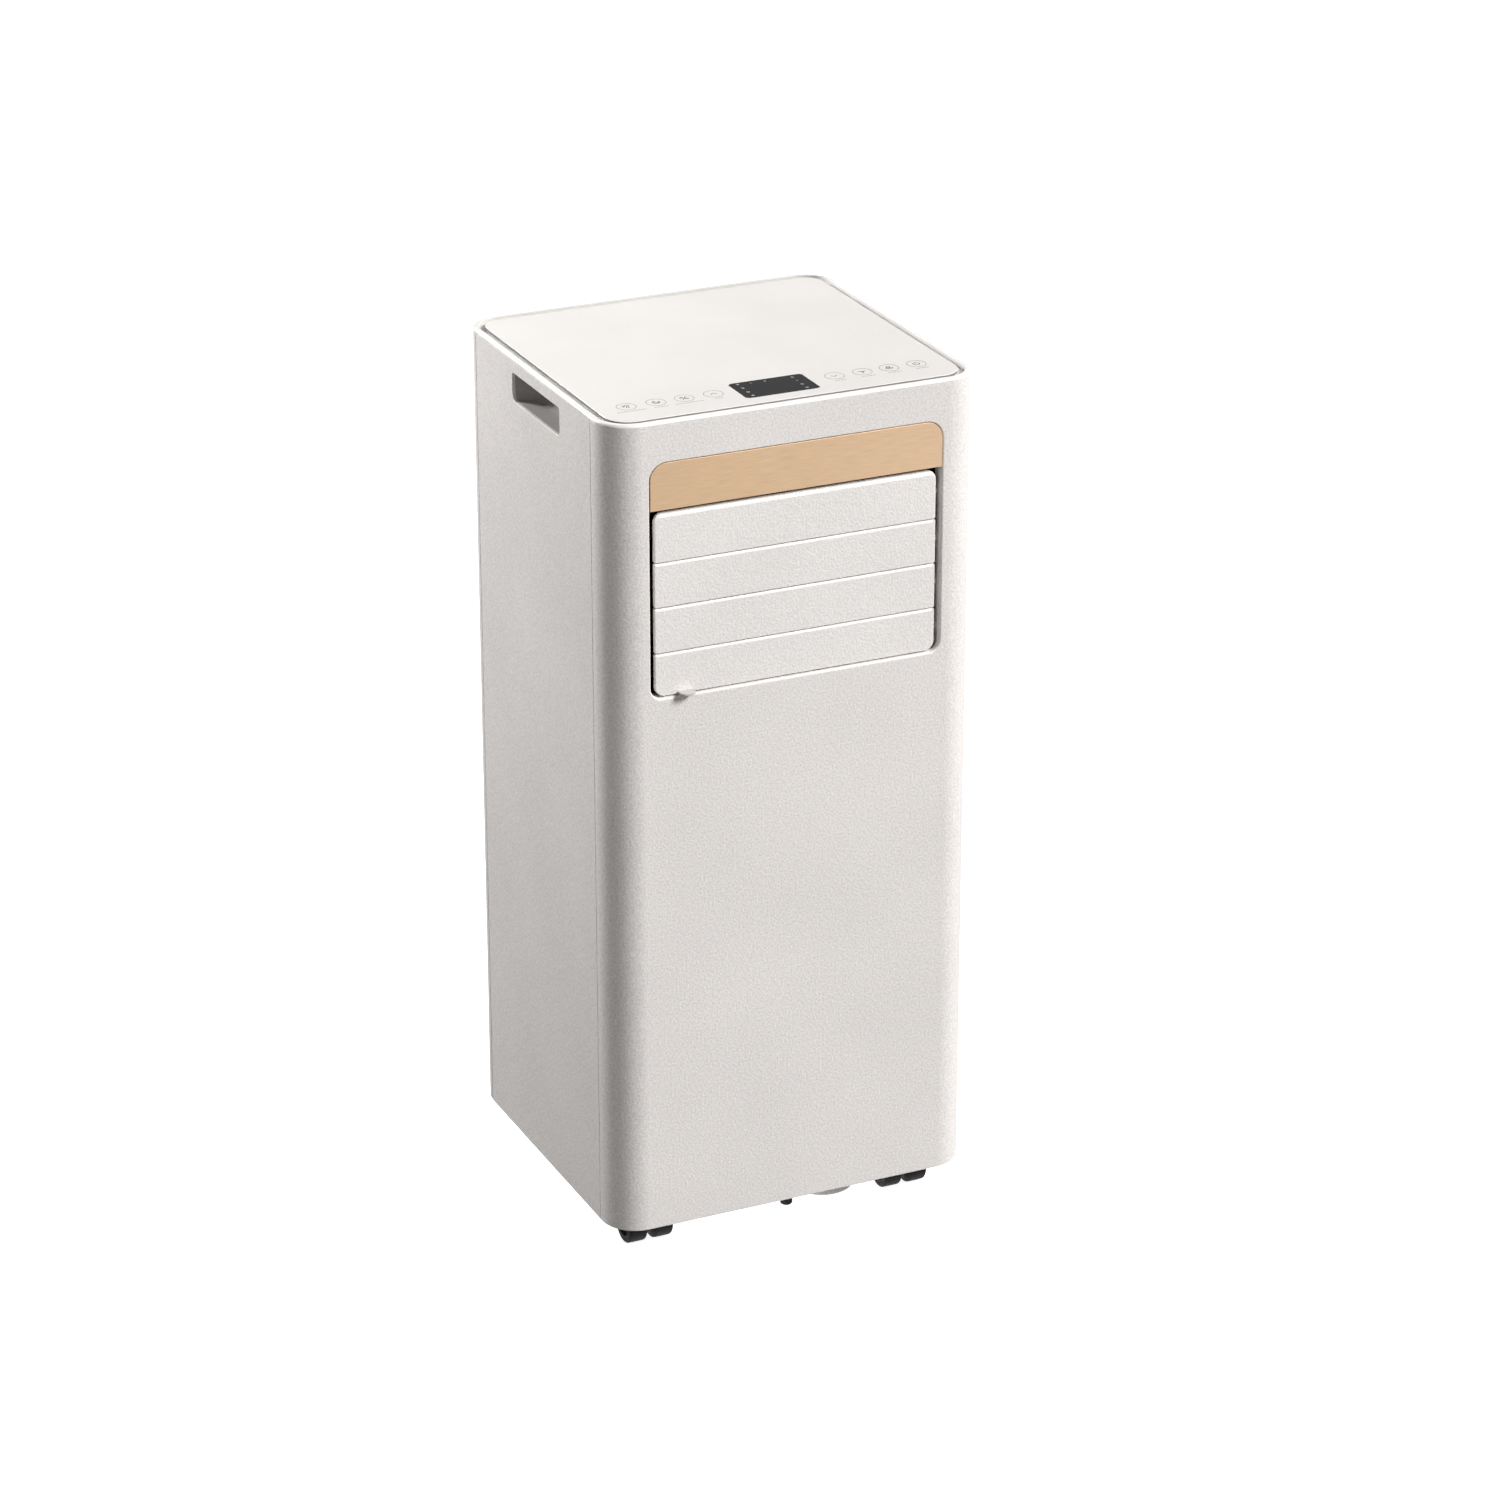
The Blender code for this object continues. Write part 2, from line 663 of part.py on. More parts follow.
def build_outlet_duct():
    """The louvre frame: a diffuser that widens from the blower's neck to the front opening."""
    floor, wall, half = OPENING_BOTTOM, DUCT_WALL, OPENING_HALF_WIDTH
    ceiling = DUCT_TOP - wall
    throat_y, throat_z = DUCT_THROAT
    outer = [
        (DUCT_FRONT, floor - wall), (DUCT_REAR, floor - wall), (DUCT_REAR, throat_z),
        (throat_y, DUCT_TOP), (DUCT_FRONT, DUCT_TOP),
    ]
    inner = [
        (DUCT_FRONT - 0.0100, floor), (DUCT_REAR - wall, floor),
        (DUCT_REAR - wall, throat_z - wall / 2), (throat_y - wall / 2, ceiling),
        (DUCT_FRONT - 0.0100, ceiling),
    ]
    duct = plate("outlet_duct", [outer], -half - wall, half + wall, "X")
    accent_back = block(
        "accent_back", (-ACCENT_BACK_HALF_WIDTH, DUCT_FRONT + GAP, ceiling + 0.0005),
        (ACCENT_BACK_HALF_WIDTH, DUCT_FRONT + wall, ACCENT_BACK_TOP),
    )
    cavity = plate("duct_cavity", [inner], -half, half, "X")
    neck = scroll_outline(UPPER_FAN, floor, SCROLL_WALL)
    neck_hole = block(
        "neck_hole",
        (neck[0][0], UPPER_SCROLL_Y[0] + SCROLL_WALL, floor - 0.0100),
        (neck[-1][0], UPPER_SCROLL_Y[1] - SCROLL_WALL, floor + 0.0100),
    )
    cut(join(duct, accent_back), cavity, neck_hole)
    bearings = []
    for index in range(4):
        z = blade_pivot_z(index)
        ends = (-half - 0.0100, BLADE_PIVOT_Y, z), (half + 0.0100, BLADE_PIVOT_Y, z)
        bearings.append(rod(f"blade_bearing_{index + 1}", *ends, PIN_RADIUS + GAP, 12))
    for index, x in enumerate(VANE_X):
        ends = (x, VANE_PIVOT_Y, floor - 0.0100), (x, VANE_PIVOT_Y, DUCT_TOP + 0.0100)
        bearings.append(rod(f"vane_bearing_{index + 1}", *ends, VANE_PIN_RADIUS + GAP, 12))
    return finish(cut(duct, gather("duct_bearings", bearings)), "duct")


def build_louver_blade(index):
    number = index + 1
    top, bottom = BLADE_EDGES[index] - GAP, BLADE_EDGES[index + 1] + GAP
    top_radius = BLADE_CORNER_RADIUS if index == 0 else 0.0008
    bottom_radius = BLADE_CORNER_RADIUS if index == 3 else 0.0012
    radii = (bottom_radius, bottom_radius, top_radius, top_radius)
    outline = rounded_rectangle((-BLADE_HALF_WIDTH, bottom), (BLADE_HALF_WIDTH, top), radii, 5)
    back = BLADE_FACE_Y + BLADE_THICKNESS
    blade = plate(f"louver_blade_{number}", [outline], BLADE_FACE_Y, back, "Y")
    chamfer = 0.0032 if index == 0 else 0.0020
    wedge = [
        (BLADE_FACE_Y - 0.0100, top - chamfer - 0.0100),
        (BLADE_FACE_Y + chamfer + 0.0100, top + 0.0100),
        (BLADE_FACE_Y - 0.0100, top + 0.0100),
    ]
    cut(blade, plate(f"blade_chamfer_{number}", [wedge], -WIDTH, WIDTH, "X"))
    z = blade_pivot_z(index)
    crank = (BLADE_PIVOT_Y + CRANK[0], z + CRANK[1])
    ear_root, reach, half = back - 0.0010, EAR_REACH, EAR_HALF_HEIGHT
    left_ear = [
        (ear_root, z - half), (BLADE_PIVOT_Y + reach, z - half),
        (crank[0] + reach, crank[1] - 0.0020), (crank[0] + reach, crank[1] + reach),
        (crank[0] - reach, crank[1] + reach), (ear_root, z + half),
    ]
    right_ear = [
        (ear_root, z - half), (BLADE_PIVOT_Y + reach, z - half),
        (BLADE_PIVOT_Y + reach, z + half), (ear_root, z + half),
    ]
    outside = BLADE_HALF_WIDTH - EAR_INSET
    inside = outside - EAR_THICKNESS
    root = (inside + outside) / 2
    pivot = (BLADE_PIVOT_Y, z)
    join(
        blade,
        plate(f"left_ear_{number}", [left_ear], -outside, -inside, "X"),
        plate(f"right_ear_{number}", [right_ear], inside, outside, "X"),
        rod(f"left_pin_{number}", (-root, *pivot), (-PIN_END_X, *pivot), PIN_RADIUS, 12),
        rod(f"right_pin_{number}", (root, *pivot), (PIN_END_X, *pivot), PIN_RADIUS, 12),
        rod(f"crank_pin_{number}", (-root, *crank), (CRANK_PIN_END_X, *crank), CRANK_PIN_RADIUS, 10),
    )
    if index == 3:
        join(blade, build_lever())
    set_origin(blade, (0, BLADE_PIVOT_Y, z))
    return finish(blade, "casing")


def build_lever():
    """The thumb tab on the lowest blade, a tongue with rounded front corners."""
    tip = FRONT - LEVER_REACH
    outline = rounded_rectangle(
        (LEVER_X[0], tip), (LEVER_X[1], BLADE_FACE_Y + 0.0010), (0.003, 0.003, 0, 0), 4
    )
    return plate("lever_tab", [outline], *LEVER_Z)


def build_louver_link():
    """The bar that makes all four blades tilt together."""
    y = BLADE_PIVOT_Y + CRANK[0]
    pins = [(y, blade_pivot_z(index) + CRANK[1]) for index in range(4)]
    half = 0.0026
    outline = rounded_rectangle(
        (y - half, pins[-1][1] - half), (y + half, pins[0][1] + half), (half - 0.0001,) * 4, 4
    )
    holes = [arc(pin, CRANK_PIN_RADIUS + GAP, 0, 324, 9) for pin in pins]
    link = plate("louver_link", [outline] + holes, *LINK_X, "X")
    set_origin(link, (0, *pins[-1]))
    return finish(link, "dark")


def build_vane(index):
    x = VANE_X[index]
    low, high = VANE_Z
    half = VANE_HALF_THICKNESS
    corner = half - 0.0001
    outline = rounded_rectangle((x - half, VANE_DEPTH[0]), (x + half, VANE_DEPTH[1]), (corner,) * 4, 2)
    vane = plate(f"vane_{index + 1}", [outline], low, high)
    # The first vane's lower pin runs down into the swing motor.
    pin_bottom = SWING_MOTOR_PIN_BOTTOM if index == 0 else VANE_PIN_BOTTOM
    pin = (x, VANE_PIVOT_Y, pin_bottom), (x, VANE_PIVOT_Y, DUCT_TOP - 0.0004)
    crank_y = VANE_PIVOT_Y + VANE_CRANK
    crank = (x, crank_y, VANE_LINK_Z[0] - 0.0010), (x, crank_y, low + 0.0020)
    join(
        vane,
        rod(f"vane_pin_{index + 1}", *pin, VANE_PIN_RADIUS, 12),
        rod(f"vane_crank_{index + 1}", *crank, VANE_CRANK_RADIUS, 10),
    )
    set_origin(vane, (x, VANE_PIVOT_Y, 0))
    return finish(vane, "duct")


def build_vane_link():
    y = VANE_PIVOT_Y + VANE_CRANK
    half = 0.0028
    low, high = (VANE_X[0] - 0.0050, y - half), (VANE_X[-1] + 0.0050, y + half)
    outline = rounded_rectangle(low, high, (0.002,) * 4, 3)
    holes = [arc((x, y), VANE_CRANK_RADIUS + GAP, 0, 324, 9) for x in VANE_X]
    link = plate("vane_link", [outline] + holes, *VANE_LINK_Z)
    set_origin(link, (VANE_X[0], y, 0))
    return finish(link, "dark")


def build_swing_motor():
    x, y = VANE_X[0], VANE_PIVOT_Y
    top = OPENING_BOTTOM - DUCT_WALL - GAP
    motor = rod("swing_motor", (x, y, top - SWING_MOTOR_HEIGHT), (x, y, top), SWING_MOTOR_RADIUS, 24)
    ears = block("swing_motor_ears", (x - 0.0190, y - 0.0040, top - 0.0015), (x + 0.0190, y + 0.0040, top))
    socket = rod(
        "swing_motor_socket", (x, y, SWING_MOTOR_PIN_BOTTOM - 0.0025), (x, y, top + 0.0100),
        VANE_PIN_RADIUS + GAP, 12,
    )
    return finish(smooth(cut(join(motor, ears), socket)), "steel")


# ---------------------------------------------------------------- blowers and heat exchangers

def build_scroll(name, fan, y_range, neck_top):
    """A blower housing: a spiral box, open at its neck, at its inlet and round the shaft."""
    cx, cz = fan["centre"]
    inlet_side = y_range[1]
    housing = plate(name, [scroll_outline(fan, neck_top, 0.0)], *y_range, "Y")
    hollow = plate(
        name + "_hollow", [scroll_outline(fan, neck_top + 0.0100, SCROLL_WALL)],
        y_range[0] + SCROLL_WALL, y_range[1] - SCROLL_WALL, "Y",
    )
    shaft_side = y_range[0]
    inlet = rod(
        name + "_inlet", (cx, inlet_side - 0.0100, cz), (cx, inlet_side + 0.0100, cz),
        fan["radius"] * INLET_SHARE, 32,
    )
    shaft = rod(
        name + "_shaft", (cx, shaft_side - 0.0100, cz), (cx, shaft_side + 0.0100, cz),
        2 * SHAFT_RADIUS, 16,
    )
    return finish(smooth(cut(housing, hollow, inlet, shaft)), "inner")


def build_fan_wheel(name, fan, shaft_end):
    """A squirrel-cage wheel: a back disc on its shaft, blades and a front ring."""
    cx, cz = fan["centre"]
    back, front = fan["y"]
    outer, inner = fan["radius"], fan["radius"] * FAN_INNER_SHARE
    disc, ring = back + 0.0022, front - 0.0030
    profile = [
        (0.0, back + 0.0160), (0.0080, back + 0.0160), (0.0095, disc), (inner, disc),
        (inner, front), (outer, front), (outer, back), (0.0095, back),
        (SHAFT_RADIUS, back - 0.0010), (SHAFT_RADIUS, shaft_end), (0.0, shaft_end),
    ]
    heights = [(radius, height - back) for radius, height in profile]
    wheel = turned(name, heights, centre=(cx, back, cz), axis="Y", steps=40)
    shape = bmesh.new()
    slots = bpy.data.meshes.new(name + "_slots")
    for i in range(FAN_SLOTS):
        turn = Matrix.Rotation(2 * math.pi * i / FAN_SLOTS, 4, "Z")
        lean = Matrix.Rotation(FAN_SLOT_LEAN, 4, "Z")
        place = turn @ Matrix.Translation(((outer + inner) / 2, 0, 0)) @ lean
        size = Matrix.Diagonal(((outer - inner) * 1.7, FAN_SLOT_WIDTH, ring - disc - 0.0006, 1))
        lift = Matrix.Translation((0, 0, (ring + disc) / 2 - back))
        bmesh.ops.create_cube(shape, size=1.0, matrix=lift @ place @ size)
    shape.to_mesh(slots)
    shape.free()
    cutter = object_of(name + "_slots", slots)
    cutter.parent = wheel
    return finish(cut(wheel, cutter), "dark")


def build_fan_motor(name, fan, y_range):
    cx, cz = fan["centre"]
    start, end = y_range
    depth = end - start
    profile = [
        (0.0130, depth), (0.0150, depth - 0.0040), (MOTOR_RADIUS - 0.0040, depth - 0.0040),
        (MOTOR_RADIUS, depth - 0.0080), (MOTOR_RADIUS, 0.0060), (MOTOR_RADIUS - 0.0050, 0.0),
        (SHAFT_RADIUS + GAP, 0.0), (SHAFT_RADIUS + GAP, depth),
    ]
    return finish(turned(name, profile, centre=(cx, start, cz), axis="Y", steps=24), "steel")


def coil_tube_z(box, index):
    """The height between two return bends, where a pipe can leave the coil."""
    return box[0][2] + (box[1][2] - box[0][2]) / COIL_BENDS * index


def build_coil(name, box):
    """A finned heat exchanger with an end plate and the return bends of its tubes on the left."""
    low, high = box
    coil = block(name, low, high)
    for label, x in (("left", low[0] - 0.0012), ("right", high[0] - 0.0008)):
        join(coil, block(
            f"{name}_{label}_plate", (x, low[1] - 0.0020, low[2] + 0.0010),
            (x + 0.0020, high[1] + 0.0020, high[2] - 0.0010),
        ))
    y = (low[1] + high[1]) / 2
    pitch = (high[2] - low[2]) / COIL_BENDS
    tubes = []
    for i in range(COIL_BENDS):
        z = low[2] + pitch * (i + 0.5)
        points = [(low[0] + 0.0030, y, z - pitch / 4)]
        points += [(low[0] - 0.0040 + px, y, pz) for px, pz in arc((0, z), pitch / 4, 270, 90, 7)]
        points += [(low[0] + 0.0030, y, z + pitch / 4)]
        tubes.append(tube(f"{name}_bend_{i + 1}", points, COIL_TUBE_RADIUS, 1))
    return finish(join(coil, gather(name + "_bends", tubes)), "aluminium")


def build_drip_tray():
    (low, high), wall = DRIP_TRAY_BOX, BOX_WALL
    tray = block("drip_tray", low, high)
    hollow = block(
        "drip_tray_hollow", (low[0] + wall, low[1] + wall, low[2] + wall),
        (high[0] - wall, high[1] - wall, high[2] + 0.0100),
    )
    return finish(cut(tray, hollow), "inner")


def build_exhaust_duct():
    """The box that turns the condenser air from the blower's neck to the rear port."""
    (low, high), wall = EXHAUST_BOX, BOX_WALL
    duct = block("exhaust_duct", low, high)
    hollow = block(
        "exhaust_duct_hollow", tuple(v + wall for v in low), tuple(v - wall for v in high)
    )
    neck = scroll_outline(LOWER_FAN, low[2], SCROLL_WALL)
    neck_hole = block(
        "exhaust_neck_hole", (neck[0][0], LOWER_SCROLL_Y[0] + 0.0040, low[2] - 0.0100),
        (neck[-1][0], LOWER_SCROLL_Y[1] - SCROLL_WALL, low[2] + 0.0100),
    )
    port = rod(
        "exhaust_port_hole", (0, high[1] - 0.0100, PORT_Z), (0, high[1] + 0.0100, PORT_Z),
        PORT_RADIUS + PORT_WALL + GAP, 40,
    )
    return finish(smooth(cut(duct, hollow, neck_hole, port)), "inner")


def build_exhaust_collar():
    """The socket for the hose adapter, with a flange against the rear cover."""
    inner, outer = PORT_RADIUS, PORT_RADIUS + PORT_WALL
    start, end = PORT_ROOT_Y, REAR + PORT_REACH
    depth = end - start
    seat = REAR + GAP - start
    flange, crown = outer + PORT_FLANGE, seat + PORT_FLANGE_THICKNESS
    profile = [
        (outer, depth), (outer, crown), (flange, crown - 0.0010), (flange, seat), (outer, seat),
        (outer, 0.0), (inner, 0.0), (inner, depth),
    ]
    collar = turned("exhaust_collar", profile, centre=(0, start, PORT_Z), axis="Y", steps=40)
    return finish(collar, "casing")


def build_deck():
    """The shelf between the blowers and the compressor bay."""
    outline = rounded_rectangle((-0.1480, -0.1360), (0.1480, 0.0960), (0.022, 0.022, 0, 0), 4)
    neck = scroll_outline(LOWER_FAN, DECK_Z[1], 0.0)
    low = (neck[0][0] - 0.0010, LOWER_SCROLL_Y[0] - 0.0010)
    high = (neck[-1][0] + 0.0010, LOWER_SCROLL_Y[1] + 0.0005)
    neck_hole = rounded_rectangle(low, high, (0, 0, 0, 0))
    pipe_holes = [arc(centre, RISER_HOLE_RADIUS, 0, 330, 11) for centre in PIPE_RISERS]
    return finish(plate("deck", [outline, neck_hole] + pipe_holes, *DECK_Z), "steel")


def build_rear_grille(name, z_range, rows):
    """A clip-off grille: a frame, a middle rib and level slots."""
    z_low, z_high = z_range[0] + SEAM, z_range[1] - SEAM
    half = GRILLE_HALF_WIDTH - SEAM
    frame, rib, bar = GRILLE_FRAME, GRILLE_RIB, GRILLE_BAR
    outline = rounded_rectangle((-half, z_low), (half, z_high), (0.0036,) * 4, 3)
    pitch = (z_high - z_low - 2 * frame) / rows
    slots = []
    for row in range(rows):
        bottom = z_low + frame + pitch * row + bar / 2
        top = bottom + pitch - bar
        for x_low, x_high in ((-half + frame, -rib), (rib, half - frame)):
            slots.append(rounded_rectangle((x_low, bottom), (x_high, top), (0, 0, 0, 0)))
    grille = plate(name, [outline] + slots, REAR - GRILLE_THICKNESS, REAR, "Y")
    return finish(grille, "casing")


def build_filter(name, z_range):
    """A washable filter: a fine mesh in a raised frame that clips behind the grille."""
    half = GRILLE_HALF_WIDTH - 0.0030
    z_low, z_high = z_range[0] + 0.0030, z_range[1] - 0.0030
    border = FILTER_FRAME
    outline = rounded_rectangle((-half, z_low), (half, z_high), (0.003,) * 4, 3)
    opening = rounded_rectangle(
        (-half + border, z_low + border), (half - border, z_high - border), (0.002,) * 4, 2
    )
    back = REAR - GRILLE_THICKNESS - GAP
    sheet = plate(name, [outline], back - FILTER_MESH, back, "Y")
    frame = plate(name + "_frame", [outline, opening], back - FILTER_FRAME_THICKNESS, back - 0.0002, "Y")
    return finish(join(sheet, frame), "mesh")


# ---------------------------------------------------------------- refrigeration and electrics

def build_compressor():
    """A hermetic compressor: a domed shell on its mounting foot, hollow as the real one."""
    r, shell = COMPRESSOR_RADIUS, COMPRESSOR_SHELL
    bottom, top = COMPRESSOR_Z
    foot, foot_top = r + COMPRESSOR_FOOT, bottom + COMPRESSOR_FOOT_HEIGHT
    angles = [math.radians(a) for a in (20, 50, 90)]
    dome = [(r * math.sin(a), top - DOME_HEIGHT * (1 - math.cos(a))) for a in angles]
    inside = [(radius * (r - shell) / r, z - shell) for radius, z in dome]
    profile = [(0.0, top)] + dome + [(r, foot_top), (foot, foot_top), (foot, bottom)]
    profile += [(2 * shell, bottom), (2 * shell, bottom + shell), (r - shell, bottom + shell)]
    profile += inside[::-1] + [(0.0, top - shell)]
    compressor = turned("compressor", profile, centre=(*COMPRESSOR_CENTRE, 0), steps=28)
    return finish(compressor, "painted_steel")


def build_accumulator():
    r, neck = ACCUMULATOR_RADIUS, 0.0060
    bottom, top = ACCUMULATOR_Z
    upper = [(0.0, 0.0), (neck, 0.0), (neck + 0.0020, 0.0070), (r - 0.0050, 0.0120), (r, 0.0200)]
    profile = [(radius, top - drop) for radius, drop in upper]
    profile += [(radius, bottom + drop) for radius, drop in upper[::-1]]
    centre = (*ACCUMULATOR_CENTRE, 0)
    return finish(turned("accumulator", profile, centre=centre, steps=24), "painted_steel")


def rounded_route(points, radius, steps=4):
    """A pipe's route with its corners turned on the given radius."""
    points = [Vector(point) for point in points]
    route = [points[0]]
    for before, corner, after in zip(points, points[1:], points[2:]):
        arriving = (before - corner).normalized() * radius
        leaving = (after - corner).normalized() * radius
        for i in range(steps + 1):
            t = i / steps
            route.append(corner + arriving * (1 - t) ** 2 + leaving * t ** 2)
    return [tuple(point) for point in route + [points[-1]]]


def build_pipes():
    """Suction, discharge and liquid lines, cut off a hair short of what they are brazed to."""
    ax, ay = ACCUMULATOR_CENTRE
    cx, cy = COMPRESSOR_CENTRE
    accumulator_low, accumulator_high = ACCUMULATOR_Z
    (sx, sy), (lx, ly) = PIPE_RISERS
    coil_y = (EVAPORATOR_BOX[0][1] + EVAPORATOR_BOX[1][1]) / 2
    condenser_y = (CONDENSER_BOX[0][1] + CONDENSER_BOX[1][1]) / 2
    coil_end = EVAPORATOR_BOX[1][0] + 0.0012 + GAP
    crossing, under_deck, right_run, sump_run = 0.2400, 0.2520, 0.1330, 0.0640
    suction_z, liquid_z = coil_tube_z(EVAPORATOR_BOX, 5), coil_tube_z(EVAPORATOR_BOX, 1)
    cooled_z, hot_z = coil_tube_z(CONDENSER_BOX, 1), coil_tube_z(CONDENSER_BOX, 5)
    suction = [
        (ax, ay, accumulator_high + GAP), (ax, ay, crossing), (sx, sy, crossing), (sx, sy, suction_z),
        (sx, coil_y, suction_z), (-coil_end, coil_y, suction_z),
    ]
    liquid = [
        (-coil_end, condenser_y, cooled_z), (lx, condenser_y, cooled_z), (lx, ly, cooled_z),
        (lx, ly, liquid_z), (lx, coil_y, liquid_z), (-coil_end, coil_y, liquid_z),
    ]
    discharge = [
        (cx, cy, COMPRESSOR_Z[1] + GAP), (cx, cy, under_deck), (right_run, cy, under_deck),
        (right_run, 0.0200, under_deck), (right_run, condenser_y, hot_z),
        (coil_end, condenser_y, hot_z),
    ]
    inlet = [
        (ax, ay, accumulator_low - GAP), (ax, ay, sump_run), (ax, cy, sump_run),
        (cx - COMPRESSOR_RADIUS - GAP, cy, sump_run),
    ]
    for name, points, radius in (
        ("suction_pipe", suction, 0.0045), ("liquid_line", liquid, 0.0020),
        ("discharge_pipe", discharge, 0.0035), ("compressor_inlet_pipe", inlet, 0.0045),
    ):
        finish(tube(name, rounded_route(points, PIPE_BEND), radius), "copper")


def build_control_board():
    """The board under the control plate, with the parts that stand on it."""
    board = block("control_board", *CONTROL_BOARD_BOX)
    seat = CONTROL_BOARD_BOX[1][2] - 0.0006
    for label, low, high in (
        ("display_driver", (-0.0260, -0.1150), (0.0280, -0.0800)),
        ("left_touch_strip", (-0.1260, -0.1040), (-0.0420, -0.0880)),
        ("right_touch_strip", (0.0420, -0.1040), (0.1260, -0.0880)),
    ):
        join(board, block(label, (*low, seat), (*high, BOARD_PART_TOP)))
    return finish(board, "board")


def build_electrical_box():
    """The housing of the power board and run capacitor."""
    box = block("electrical_box", *ELECTRICAL_BOX)
    root = ELECTRICAL_BOX[1][2] - 0.0050
    ends = (*CAPACITOR_CENTRE, root), (*CAPACITOR_CENTRE, CAPACITOR_TOP)
    capacitor = rod("run_capacitor", *ends, CAPACITOR_RADIUS, 20)
    return finish(smooth(soften(join(box, capacitor), 0.0012, 1, 60)), "inner")


# ---------------------------------------------------------------- base, casters and plugs

def build_base_pan():
    """The condensate tray that carries the casters, with a sump boss and a rear drain spout."""
    inset = WALL + GAP + SEAM
    low, floor = PAN_Z
    below, above = low - 0.0100, floor + 0.0100
    pan = plate("base_pan", [casing_outline(inset, 6)], low, PAN_WALL_TOP)
    tray = plate("pan_hollow", [casing_outline(inset + PAN_WALL, 6)], floor, PAN_WALL_TOP + 0.0100)
    cut(pan, tray)
    sump, bored = SUMP_CENTRE, SUMP_RADIUS - SUMP_WALL
    dx, dz = DRAIN_CENTRE
    joined = [
        rod("sump_boss", (*sump, SUMP_BOTTOM), (*sump, floor - 0.0010), SUMP_RADIUS, 32),
        rod("drain_spout", (dx, DRAIN_ROOT_Y, dz), (dx, REAR + 0.0020, dz), DRAIN_RADIUS, 20),
    ]
    removed = [
        rod("sump_hollow", (*sump, SUMP_BOTTOM + SUMP_WALL), (*sump, above), bored, 32),
        rod("drain_bore", (dx, DRAIN_ROOT_Y - 0.0100, dz), (dx, REAR + 0.0100, dz), DRAIN_BORE, 20),
        rod("plug_hole", (*PLUG_CENTRE, below), (*PLUG_CENTRE, above), PLUG_RADIUS + GAP, 16),
    ]
    for name, place in CASTERS.items():
        bore = (*place, below), (*place, SOCKET_TOP - 0.0030)
        joined.append(rod(name + "_socket", (*place, floor - 0.0010), (*place, SOCKET_TOP), SOCKET_RADIUS))
        removed.append(rod(name + "_bore", *bore, STEM_RADIUS + GAP))
    return finish(smooth(cut(join(pan, *joined), *removed)), "casing")


def build_drain_plug():
    """The rubber stopper under the pan's front edge."""
    low, floor = PAN_Z
    neck, head, crown = PLUG_RADIUS, PLUG_RADIUS + 0.0010, floor + 0.0020
    profile = [
        (0.0, crown), (neck - 0.0008, crown), (neck, low), (neck, low - GAP), (head, low - GAP),
        (head, SUMP_BOTTOM + 0.0010), (head - 0.0008, SUMP_BOTTOM), (0.0, SUMP_BOTTOM),
    ]
    return finish(turned("drain_plug", profile, centre=(*PLUG_CENTRE, 0), steps=20), "rubber")


def build_drain_cap():
    """The stopper of the rear drain: a gripping head and a plug that fits the spout."""
    dx, dz = DRAIN_CENTRE
    start = REAR - 0.0080
    seat, crown, head, plug = 0.0100 + GAP, 0.0150, 0.0095, DRAIN_BORE - GAP
    profile = [
        (0.0, crown), (head - 0.0015, crown), (head, crown - 0.0012), (head, seat), (plug, seat),
        (plug - 0.0004, 0.0), (0.0, 0.0),
    ]
    return finish(turned("drain_cap", profile, centre=(dx, start, dz), axis="Y", steps=24), "rubber")


def build_cable_gland():
    """The bushing where a supply lead enters, with an open bore."""
    x, z = CABLE_CENTRE
    length, seat, head = 0.0080, 0.0050 + GAP, GLAND_RADIUS + 0.0023
    profile = [
        (head, length), (head, seat), (GLAND_RADIUS, seat), (GLAND_RADIUS, 0.0), (GLAND_BORE, 0.0),
        (GLAND_BORE, length),
    ]
    gland = turned("cable_gland", profile, centre=(x, REAR - 0.0050, z), axis="Y", steps=20)
    return finish(gland, "dark")


def build_caster(name, place):
    """One twin-wheel caster: a hooded swivel frame, and a wheel pair on one axle."""
    x, y = place
    axle = (y + SWIVEL_TRAIL, WHEEL_RADIUS)
    outer_hood, inner_hood = HOOD_RADII
    hood_edge = WHEEL_OUTER_X + 0.0008
    web_top, half_web = (outer_hood + inner_hood) / 2, WEB_HALF_WIDTH
    web = arc(axle, web_top, 25, 175, 10) + arc(axle, 0.0110, 185, 375, 10)
    hood = arc(axle, outer_hood, 25, 175, 12) + arc(axle, inner_hood, 175, 25, 12)
    frame = plate(f"caster_frame_{name}", [web], x - half_web, x + half_web, "X")
    join(
        frame,
        plate(f"hood_{name}", [hood], x - hood_edge, x + hood_edge, "X"),
        block(f"neck_{name}", (x - 0.0024, y - 0.0060, 0.0220), (x + 0.0024, y + 0.0060, 0.0335)),
        rod(f"plate_{name}", (x, y, 0.0325), (x, y, PAN_Z[0] - 0.0008), SOCKET_RADIUS + 0.0005),
        rod(f"stem_{name}", (x, y, 0.0300), (x, y, STEM_TOP), STEM_RADIUS),
    )
    hole = (x - 0.0100, *axle), (x + 0.0100, *axle)
    cut(frame, rod(f"axle_hole_{name}", *hole, AXLE_RADIUS + GAP, 12))
    set_origin(frame, (x, y, 0))
    finish(smooth(frame), "dark")

    r, inner, outer = WHEEL_RADIUS, WHEEL_INNER_X, WHEEL_OUTER_X
    recess = outer - 0.0020
    half = [
        (0.0, recess), (0.0095, recess), (0.0105, outer), (r - 0.0015, outer), (r, outer - 0.0015),
        (r, inner + 0.0015), (r - 0.0015, inner), (AXLE_RADIUS, inner),
    ]
    profile = half + [(radius, -height) for radius, height in half[::-1]]
    wheels = turned(f"caster_wheels_{name}", profile, centre=(x, *axle), axis="X", steps=24)
    finish(wheels, "rubber")


# ---------------------------------------------------------------- assembly

